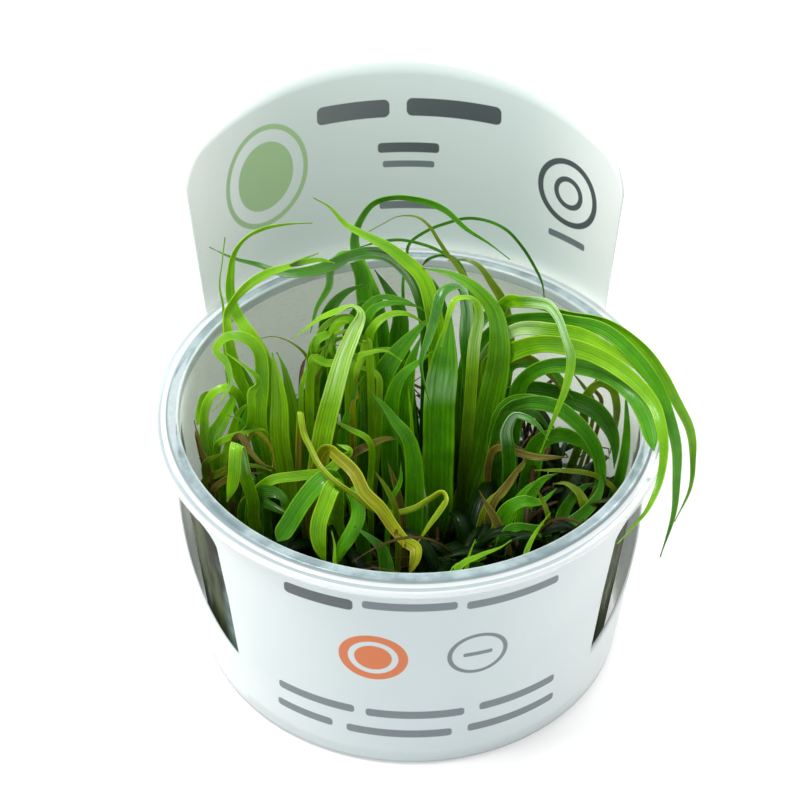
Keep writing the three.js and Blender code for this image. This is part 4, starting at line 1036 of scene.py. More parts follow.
@dataclass
class ClearCup:
    """The turned cup: round foot, leaning wall, flat flange and a raised sealing bead round the mouth."""

    foot_radius: float = 33.0
    wall_top_radius: float = 36.9
    wall: float = 0.8
    floor: float = 1.2
    foot_round: float = 1.2
    rim_radius: float = 40.0
    rim_top: float = 44.9
    rim_thickness: float = 1.5
    rim_round: float = 0.4
    bead_top: float = 45.5
    bead_outer: float = 38.1
    mouth: float = 36.2
    sides: int = 192
    top_zone: Pair = (43.4, 44.2)
    bead_end: float = 38.25
    bead_full: float = 37.95
    lip_end: float = 36.75
    lip_full: float = 36.35
    line_rise: Pair = (38.9, 39.1)
    line_fall: Pair = (39.6, 39.8)
    groove_rise: Pair = (37.8, 38.05)
    groove_fall: Pair = (38.15, 38.4)
    growth_top: Pair = (42.6, 41.8)
    growth_front: Pair = (0.5, -1.5)
    growth_ragged: float = 8.0

    def profile(self) -> list[Pair]:
        """The cup's outline from the middle of its underside round to the middle of its floor.

        The bead's crown is half an oval that is flatter on top: its cosine to the power 0.5 and its
        sine to the power 0.6.

        Returns:
            (radius, height) rows in mm.
        """
        under = self.rim_top - self.rim_thickness
        r = self.rim_round
        edge = self.rim_radius - r
        bead_r = 0.5 * (self.bead_outer - self.mouth)
        bead_mid = 0.5 * (self.bead_outer + self.mouth)
        rise = self.bead_top - self.rim_top
        crown = [(bead_mid + bead_r * math.copysign(abs(math.cos(a)) ** 0.5, math.cos(a)),
                  self.rim_top + rise * abs(math.sin(a)) ** 0.6) for a in np.linspace(0.02, math.pi, 15)]
        inner_foot = self.foot_radius - self.wall
        inner_top = (self.wall_top_radius - self.wall, under)
        inner_low = self.floor + self.foot_round
        along = np.linspace(0.1, 1, 10)
        return [
            (0, 0),
            *arc((self.foot_radius - self.foot_round, self.foot_round), self.foot_round, -90, 0, 7),
            *line((self.foot_radius, self.foot_round), (self.wall_top_radius, under), along),
            *arc((edge, under + r), r, -90, 0, 5),
            *arc((edge, self.rim_top - r), r, 0, 90, 5),
            *crown,
            *line((self.mouth, self.rim_top), inner_top, (0.5, 1.0)),
            *line(inner_top, (inner_foot, inner_low), along),
            *arc((inner_foot - self.foot_round, inner_low), self.foot_round, 0, -90, 6),
            (0, self.floor),
        ]

    def plastic(self) -> Material:
        """Clear plastic that shows more of itself at a slant, with a layer of sealing residue on the bead.

        Bands are read from the distance to the axis: wall, bead with its residue, and milky flange.

        Returns:
            The material.
        """
        material, sheet = new_material("cup_plastic")
        body = sheet.body()
        x, y, z = sheet.split(body)
        far = sheet.length(sheet.vector("MULTIPLY", body, (1.0, 1.0, 0.0)))
        high = sheet.ramp_mm(z, *self.top_zone)
        bead = sheet.times(high, sheet.ramp_mm(far, self.bead_end, self.bead_full))
        flange = sheet.times(high, sheet.ramp_mm(far, self.bead_full, self.bead_end))
        lip = sheet.times(bead, sheet.ramp_mm(far, self.lip_end, self.lip_full))
        rim_line = sheet.times(high, sheet.band(far, self.line_rise, self.line_fall))
        groove = sheet.times(high, sheet.band(far, self.groove_rise, self.groove_fall))
        film_and_painted_sheen = sheet.noise(240.0, 4.0, body)
        fine = sheet.noise(1500.0, 2.0, body)
        slant = sheet.add("ShaderNodeLayerWeight", {"Blend": 0.35})
        clear = sheet.ramp(slant.outputs["Facing"], 0.3, 1.0, 0.03, 0.16)
        alpha = sheet.math("ADD", clear, sheet.times(flange, 0.72), clamp=True)
        filmed = sheet.times(bead, sheet.ramp(film_and_painted_sheen, 0.3, 0.7, 0.62, 0.86))
        alpha = sheet.math("ADD", alpha, filmed, clamp=True)
        alpha = sheet.math("ADD", alpha, sheet.times(groove, 0.4), clamp=True)
        smear, growth = self.pressed_growth(sheet, x, y, z, body)
        alpha = sheet.math("MAXIMUM", alpha, sheet.times(smear, 0.86))
        residue = sheet.mix(sheet.ramp(film_and_painted_sheen, 0.35, 0.65), "#7f969c", "#a4b8bb")
        colour = sheet.mix(smear, "#eef3f4", growth)
        colour = sheet.mix(bead, colour, residue)
        colour = sheet.mix(lip, colour, "#c4d2d4")
        colour = sheet.tint(colour, groove, 0.55, "#7d9296")
        colour = sheet.tint(colour, rim_line, 0.7, "#98abb0")
        relief = sheet.times(bead, sheet.math("ADD", film_and_painted_sheen, sheet.times(fine, 0.4)))
        rough = sheet.math("MAXIMUM", sheet.ramp(bead, 0.0, 1.0, 0.12, 0.3), sheet.times(smear, 0.75))
        sheet.surface(Base_Color=colour, Alpha=alpha, Roughness=rough, IOR=1.49,
                      Normal=sheet.bump(relief, 0.0002, 0.5), Coat_Roughness=0.08,
                      Coat_Weight=sheet.ramp(smear, 0.0, 1.0, 0.4, 0.0))
        return material

    def pressed_growth(self, sheet: Sheet, x: object, y: object, z: object,
                       body: object) -> tuple[object, object]:
        """Olive growth that presses on the wall towards the front, in upright streaks.

        It is paler and bluer beside the wrap's front edges, where the wall mirrors the sheet.

        Args:
            sheet: the material's nodes.
            x, y, z: the three parts of the place.
            body: the place on the tub.

        Returns:
            Where it is, and its colour.
        """
        upright = sheet.noise(330.0, 3.0, body, (1.0, 1.0, 0.22))
        lumps = sheet.noise(120.0, 2.0, body)
        forward = sheet.math("MAXIMUM", sheet.times(y, -1.0), MM)
        slope = sheet.math("DIVIDE", sheet.math("ABSOLUTE", x), forward)
        uneven = sheet.times(sheet.math("SUBTRACT", lumps, 0.5), self.growth_ragged * MM)
        edge = sheet.ramp_mm(sheet.math("ADD", y, uneven), *self.growth_front)
        front = sheet.times(edge, sheet.ramp(slope, 1.05, 1.2))
        front = sheet.times(front, sheet.ramp_mm(z, *self.growth_top))
        colour = sheet.mix(sheet.ramp(upright, 0.4, 0.62), "#1b200a", "#48522c")
        colour = sheet.mix(sheet.ramp(lumps, 0.45, 0.7, 0.0, 0.6), colour, "#5a6438")
        beside = sheet.times(sheet.ramp(slope, 1.62, 1.36), sheet.ramp(lumps, 0.38, 0.58))
        return front, sheet.tint(colour, beside, 0.6, "#8fb0b0")

    def build(self) -> None:
        """Turns the cup and gives it its plastic."""
        settle(lathe("clear_cup", self.profile(), self.sides), "cup", "cup", self.plastic())


# The printed wrap


DARK_INK = "#3c464a"
GREY_INK = "#626e73"
ORANGE_INK = "#cc640a"
GREEN_INK = "#8cb672"


@dataclass(frozen=True)
class Bar:
    """A printed bar, with its middle and half sizes in mm on the wrap, and its ink."""

    x: float
    y: float
    half_x: float
    half_y: float
    ink: str = GREY_INK


@dataclass(frozen=True)
class Ring:
    """A printed ring, or a dot where the line is twice the radius, in mm on the wrap."""

    x: float
    y: float
    radius: float
    line: float
    ink: str
    stretch: Pair = (1.0, 1.0)


FRONT_MARKS: tuple[Bar | Ring, ...] = (
    Bar(-15.5, 39.0, 5.4, 1.15, DARK_INK),
    Bar(-1.5, 39.6, 7.0, 0.8),
    Bar(14.5, 39.2, 7.4, 0.8),
    Ring(-7.0, 27.0, 4.6, 1.3, ORANGE_INK),
    Ring(-7.0, 27.0, 1.4, 2.8, ORANGE_INK),
    Ring(9.0, 27.2, 4.4, 0.55, GREY_INK),
    Bar(9.0, 27.2, 2.2, 0.35),
    Bar(-16.5, 13.2, 6.4, 0.85),
    Bar(-0.5, 13.0, 7.6, 0.85),
    Bar(16.3, 13.4, 6.6, 0.85),
    Bar(-18.5, 8.3, 4.8, 0.85),
    Bar(-3.0, 8.1, 8.2, 0.85),
    Bar(15.5, 8.4, 7.6, 0.85),
)

PANEL_MARKS: tuple[Bar | Ring, ...] = (
    Bar(-8.2, 69.9, 6.0, 1.5, DARK_INK),
    Bar(8.6, 70.1, 7.8, 1.5, DARK_INK),
    Bar(1.0, 62.8, 5.0, 0.8, DARK_INK),
    Bar(1.0, 59.8, 4.2, 0.5),
    Bar(1.0, 52.2, 4.8, 0.6),
    Ring(29.2, 60.6, 5.4, 0.8, DARK_INK),
    Ring(29.2, 60.6, 2.4, 0.7, DARK_INK),
    Bar(29.3, 52.4, 3.6, 0.5),
    Ring(-24.0, 62.2, 2.2, 4.4, GREEN_INK, (0.85, 0.75)),
    Ring(-24.0, 62.2, 6.4, 0.5, GREEN_INK, (0.85, 0.75)),
)


@dataclass
class PrintedWrap:
    """The printed sheet round the cup: an oblique cone with a window at each side and a tall back panel."""

    foot_radius: float = 34.4
    rim_radius: float = 39.6
    rim_height: float = 43.0
    lean: float = 1.4
    shift: float = 0.4
    turn: float = 2.3
    thickness: float = 0.4
    bottom: float = 0.5
    front_top: float = 42.9
    panel_top: float = 78.1
    panel_half_angle: float = 55.2
    panel_arc: float = 133.0
    panel_corner: float = 6.0
    panel_tilt: float = 0.018
    window_front: float = 50.4
    window_back: float = 116.0
    window_low: float = 12.5
    window_high: float = 41.0
    window_power: float = 1.35
    window_corner_angle: float = 6.5
    window_corner_height: float = 3.5
    edge_step: float = 0.2
    unit_mm: float = 100.0
    rows_below: int = 8
    rows_above: int = 18
    print_soft: float = 0.0018
    print_cover: float = 0.97
    print_side: float = 4.0

    def cone(self, angle: Array, height: Array) -> Array:
        """Places on the sheet: a circle whose radius grows, and whose middle moves back, with height.

        Args:
            angle: degrees from the front to the right.
            height: heights in mm.

        Returns:
            One place in mm for each pair.
        """
        rise = height / self.rim_height
        radius = self.radius(height)
        turned = np.radians(angle + self.turn)
        x = self.shift * (1 - rise) + radius * np.sin(turned)
        y = self.lean * rise - radius * np.cos(turned)
        return np.stack([x, y, height], -1)

    def radius(self, height: Array) -> Array:
        """The sheet's radius at a height, in a straight line from foot to rim and on."""
        return self.foot_radius + (self.rim_radius - self.foot_radius) * height / self.rim_height

    def panel_edge(self, angle: Array) -> Array:
        """Height of the back panel's top: a wide arc that drops in a quarter circle at each corner.

        Args:
            angle: degrees from the front.

        Returns:
            The height in mm at each angle.
        """
        from_back = 180 - np.abs(angle)
        reach = self.radius(np.array(self.panel_top))
        across = reach * np.radians(from_back)
        corner_start = reach * math.radians(self.panel_half_angle) - self.panel_corner
        into = np.clip((across - corner_start) / self.panel_corner, 0, 1)
        arc_drop = self.panel_arc - np.sqrt(self.panel_arc ** 2 - across ** 2)
        corner_drop = self.panel_corner * (1 - np.sqrt(1 - into ** 2))
        return self.panel_top - arc_drop - corner_drop - np.sign(angle) * self.panel_tilt * from_back

    def columns(self) -> Array:
        """Angles round the sheet, closer together at the window's and the panel's corners.

        Returns:
            Degrees from the front, without the one at the back twice.
        """
        corner_end = self.window_front + self.window_corner_angle
        panel = 180 - self.panel_half_angle
        side = np.concatenate([
            np.linspace(0, self.window_front - self.edge_step, 40),
            np.linspace(self.window_front + self.edge_step, corner_end, 14)[:-1],
            np.linspace(corner_end, self.window_back, 56),
            np.linspace(self.window_back + 1, panel - self.edge_step, 8),
            np.linspace(panel + self.edge_step, panel + 7, 18)[:-1],
            np.linspace(panel + 7, 180, 44),
        ])
        return np.concatenate([-side[1:-1][::-1], side])

    def edges(self, angle: Array) -> tuple[Array, Array, Array]:
        """Heights of the window's lower and upper edge and of the top. Without a window the two meet.

        The lower edge rises with the share of the window's run to a power, and the upper one drops in
        a quarter oval at the front corner.

        Args:
            angle: degrees from the front.

        Returns:
            The three heights in mm at each angle.
        """
        aside = np.abs(angle)
        top = np.where(aside > 180 - self.panel_half_angle, self.panel_edge(angle), self.front_top)
        along = np.clip((aside - self.window_front) / (self.window_back - self.window_front), 0, 1)
        low = self.window_low + (self.window_high - self.window_low) * along ** self.window_power
        corner = np.clip((aside - self.window_front) / self.window_corner_angle, 0, 1)
        high = self.window_high - self.window_corner_height * (1 - np.sqrt(1 - (1 - corner) ** 2))
        middle = 0.5 * (self.window_low + self.window_high)
        front = aside < self.window_front
        back = aside >= self.window_back
        low, high = (np.where(front, middle, np.where(back, self.window_high, edge)) for edge in (low, high))
        return low, high, top

    def sheet(self) -> Object:
        """The outer face as two bands, below and above the windows, joined where they meet.

        Heights in a band run evenly from its lower to its upper edge at each angle.

        Returns:
            The wrap, with one UV map for the front's print and one for the panel's.
        """
        angle = self.columns()
        low, high, top = self.edges(angle)
        bands = [start + (end - start) * np.linspace(0, 1, rows)[:, None]
                 for start, end, rows in ((self.bottom, low, self.rows_below), (high, top, self.rows_above))]
        heights = np.concatenate(bands)
        around = len(angle)
        angles = np.broadcast_to(angle, heights.shape)
        points = self.cone(angles, heights).reshape(-1, 3)
        below = self.rows_below * around
        faces = [ring_faces(self.rows_below, around), ring_faces(self.rows_above, around, below)]
        piece = make_mesh("printed_wrap", points, faces)
        from_back = (180 - np.abs(angles)) * np.sign(angles)
        for name, turned in (("front_print", angles), ("panel_print", from_back)):
            place = np.stack([np.radians(turned) * self.radius(heights), heights], -1)
            set_uv(piece, name, place.reshape(-1, 2) / self.unit_mm)
        self.close(piece)
        return piece

    def close(self, piece: Object) -> None:
        """Joins the doubled points where the bands meet, then thickens the sheet inwards.

        Args:
            piece: the sheet.
        """
        weld = piece.modifiers.new("join_bands", "WELD")
        weld.merge_threshold = 0.00001
        solid = piece.modifiers.new("sheet_thickness", "SOLIDIFY")
        solid.thickness = self.thickness * MM
        solid.offset = -1.0
        solid.use_even_offset = True
        solid.material_offset = 1

    def ink(self, sheet: Sheet, effects: Effects, colour: object, place: object, marks: tuple,
            side: object) -> object:
        """Prints the marks of each ink over a colour, on one side of the tub only.

        Args:
            sheet: the material's nodes.
            effects: the shared effects.
            colour: what is printed on.
            place: the place on the sheet, in tenths of a metre.
            marks: the bars and rings.
            side: 1 on the side that is printed and 0 on the other.

        Returns:
            The colour with its print.
        """
        inks: dict[str, object] = {}
        for mark in marks:
            centre = (mark.x / self.unit_mm, mark.y / self.unit_mm, 0.0)
            if isinstance(mark, Bar):
                corner = 0.6 * min(mark.half_x, mark.half_y)
                half = ((mark.half_x - corner) / self.unit_mm, (mark.half_y - corner) / self.unit_mm, 0.0)
                node = sheet.place_group(effects.bar, Place=place, Centre=centre, Half=half,
                                         Corner=corner / self.unit_mm, Soft=self.print_soft)
            else:
                node = sheet.place_group(effects.ring, Place=place, Centre=centre,
                                         Stretch=(*mark.stretch, 0.0), Radius=mark.radius / self.unit_mm,
                                         Line=mark.line / self.unit_mm, Soft=self.print_soft)
            mask = node.outputs["Ink"]
            inks[mark.ink] = sheet.math("MAXIMUM", inks[mark.ink], mask) if mark.ink in inks else mask
        for ink, mask in inks.items():
            shown = sheet.times(sheet.times(mask, self.print_cover), side)
            colour = sheet.mix(shown, colour, ink)
        return colour

    def outer_print(self, effects: Effects) -> Material:
        """The outside: white, with painted grey-blue shade at the front's middle and foot, and its plain
        marks.

        Args:
            effects: the shared effects.

        Returns:
            The material.
        """
        material, sheet = new_material("wrap_outside")
        place = sheet.uv("front_print")
        x, y, _ = sheet.split(place)
        aside = sheet.math("ABSOLUTE", x)
        side = sheet.ramp_mm(sheet.split(sheet.body())[1], self.print_side, 0.0)
        # Painted shade: the middle of the front goes grey-blue while its sides stay white.
        middle = sheet.times(sheet.ramp(aside, 0.42, 0.05), side)
        colour = sheet.tint("#e6edec", middle, 0.8, "#bccacc")
        cloud = sheet.noise(26.0, 2.0)
        colour = sheet.mix(sheet.ramp(cloud, 0.4, 0.7, 0.0, 0.2), colour, "#b8c6ca")
        # Painted shade: grey-blue along the sheet's bottom edge, where it meets the floor.
        foot = sheet.ramp(y, 0.012, 0.006)
        colour = sheet.tint(colour, foot, 0.45, "#8d9a9e")
        colour = self.ink(sheet, effects, colour, place, FRONT_MARKS, side)
        fibre = sheet.noise(900.0, 2.0)
        sheet.surface(Base_Color=colour, Roughness=sheet.ramp(fibre, 0.3, 0.7, 0.34, 0.44),
                      Normal=sheet.bump(fibre, 0.00003, 0.5), Coat_Weight=0.15, Coat_Roughness=0.25)
        return material

    def inner_print(self, effects: Effects) -> Material:
        """The inside: grey-white, paler to the panel's edges as painted light, with its plain marks above
        the rim.

        Below the rim it is painted paler, with soft grey traces. It glows a little as painted light, most
        on the panel's left and below the rim.

        Args:
            effects: the shared effects.

        Returns:
            The material.
        """
        material, sheet = new_material("wrap_inside")
        place = sheet.uv("panel_print")
        x, y, _ = sheet.split(place)
        aside = sheet.math("ABSOLUTE", x)
        side = sheet.ramp_mm(sheet.split(sheet.body())[1], 0.0, self.print_side)
        # Painted light: the panel is paler towards its edges, as if lit from behind.
        edge = sheet.ramp(aside, 0.18, 0.42)
        colour = sheet.mix(edge, "#cfdcd9", "#fbfffd")
        cloud = sheet.noise(30.0, 2.0)
        colour = sheet.mix(sheet.ramp(cloud, 0.35, 0.7, 0.0, 0.25), colour, "#bccaca")
        # Painted light: the sheet is paler below the rim.
        low = sheet.ramp(y, 0.47, 0.42)
        colour = sheet.tint(colour, low, 0.9, "#fbfff6")
        trace = sheet.noise(60.0, 3.0, place, (1.0, 5.0, 0.0))
        traces = sheet.times(low, sheet.ramp(trace, 0.52, 0.7, 0.0, 0.22))
        colour = sheet.mix(traces, colour, "#8c968c")
        colour = self.ink(sheet, effects, colour, place, PANEL_MARKS, side)
        fibre = sheet.noise(900.0, 2.0)
        # Painted light: the sheet glows a little, most on the panel's left and below the rim.
        painted_glow = sheet.math("MAXIMUM", sheet.ramp(x, 0.15, -0.3, 0.0, 0.12), sheet.times(low, 0.16))
        sheet.surface(Base_Color=colour, Roughness=sheet.ramp(fibre, 0.3, 0.7, 0.4, 0.5),
                      Normal=sheet.bump(fibre, 0.00003, 0.5), Emission_Color="#e9f2ea",
                      Emission_Strength=painted_glow)
        return material

    def build(self, effects: Effects) -> None:
        """Makes the sheet with its outside and inside print."""
        settle(self.sheet(), "wrap", "wrap", self.outer_print(effects), self.inner_print(effects))


# The roots and the low growth


@dataclass(frozen=True)
class Thicket:
    """A bump of low growth on the mat: its middle, height and radius in mm."""

    x: float
    y: float
    height: float
    radius: float


THICKETS: tuple[Thicket, ...] = (
    Thicket(9, -15.5, 13, 8.5), Thicket(17.5, -14, 13, 8), Thicket(25, -9, 11, 6.5),
    Thicket(0, -19.5, 11, 8), Thicket(4, -25, 8, 6), Thicket(-13.5, -21.5, 11, 7),
    Thicket(-7, -25, 8, 6), Thicket(-21, -16, 10, 6.5), Thicket(27.5, 1, 8, 4.5),
    Thicket(26, 13, 8, 5), Thicket(20, 19, 9, 7), Thicket(6.5, 24, 9, 6),
    Thicket(-6, 21, 9, 6.5), Thicket(-18, 18.5, 9, 6.5), Thicket(-26.5, 13, 8, 5),
)


@dataclass(frozen=True)
class Growth:
    """One kind of low growth.

    count strands stand with their feet between the two radii and within the sector's angles, in
    degrees from the right towards the back. reach, width and height are the ranges of their sizes
    in mm, bend how far they curl aside, dry how dead they are, and spread how far, in radians,
    they turn from straight outwards.
    """

    name: str
    count: int
    seed: int
    tone: Tone
    radius: Pair
    reach: Pair
    width: Pair
    height: Pair = (2, 9)
    sector: Pair = (-180, 180)
    bend: float = 3.0
    dry: float = 0.0
    spread: float = 1.3


GROWTHS: tuple[Growth, ...] = (
    Growth("old_stems", 260, 3, Tone.WITHERED, (0, 29.5), (6, 20), (0.4, 0.9), dry=0.8),
    Growth("dark_blades", 460, 5, Tone.DARK, (3, 29.5), (5, 15), (1.2, 3.0)),
    Growth("low_blades", 150, 7, Tone.MID, (6, 29), (5, 15), (1.0, 2.6)),
    Growth("front_blades", 110, 11, Tone.DARK, (8, 28), (6, 18), (1.6, 3.4), height=(6, 15),
           sector=(-85, 20), bend=4.0),
    Growth("left_blades", 170, 29, Tone.DARK, (12, 29), (6, 16), (1.4, 3.0), height=(6, 14),
           sector=(150, 265), bend=4.0),
    Growth("bright_slips", 40, 13, Tone.LIME, (8, 29), (3, 10), (0.5, 1.3), height=(3, 9)),
    Growth("long_stems", 46, 31, Tone.WITHERED, (6, 27), (8, 22), (0.5, 1.0), height=(8, 18),
           sector=(-100, 30), bend=5.0, dry=0.6),
    Growth("right_wall_growth", 200, 17, Tone.OLIVE, (27, 30.3), (2, 7), (1.2, 3.0), height=(6, 18),
           sector=(-60, 10), bend=4.0, dry=0.4, spread=0.5),
    Growth("left_wall_growth", 200, 19, Tone.OLIVE, (27, 30.3), (2, 7), (1.2, 3.0), height=(6, 18),
           sector=(175, 240), bend=4.0, dry=0.4, spread=0.5),
    Growth("wall_stems", 110, 23, Tone.WITHERED, (24, 30.3), (2, 10), (0.4, 0.9), height=(5, 16),
           sector=(-60, 240), bend=5.0, dry=0.7),
)


# Darker copies of the leaf finishes for the low growth; the extra darkness is painted shade deep in the cup.
PAINTED_SHADE_LOW_FINISHES: dict[Tone, StrapFinish] = {
    Tone.WITHERED: StrapFinish("#604c12", "#241a06", "#84702c", dry="#442a08", glow=0.0, coat=0.1),
    Tone.DARK: StrapFinish("#0e2a03", "#041002", "#224c0a", glow=0.04, coat=0.02, gloss=0.2),
    Tone.MID: StrapFinish("#1c4e06", "#082003", "#427a12", glow=0.06, coat=0.05),
    Tone.OLIVE: StrapFinish("#3c4c10", "#161c06", "#5c682a", dry="#33290c", glow=0.0, coat=0.02, gloss=0.2),
    Tone.LIME: StrapFinish("#548e06", "#204e04", "#80b41e", glow=0.1),
}


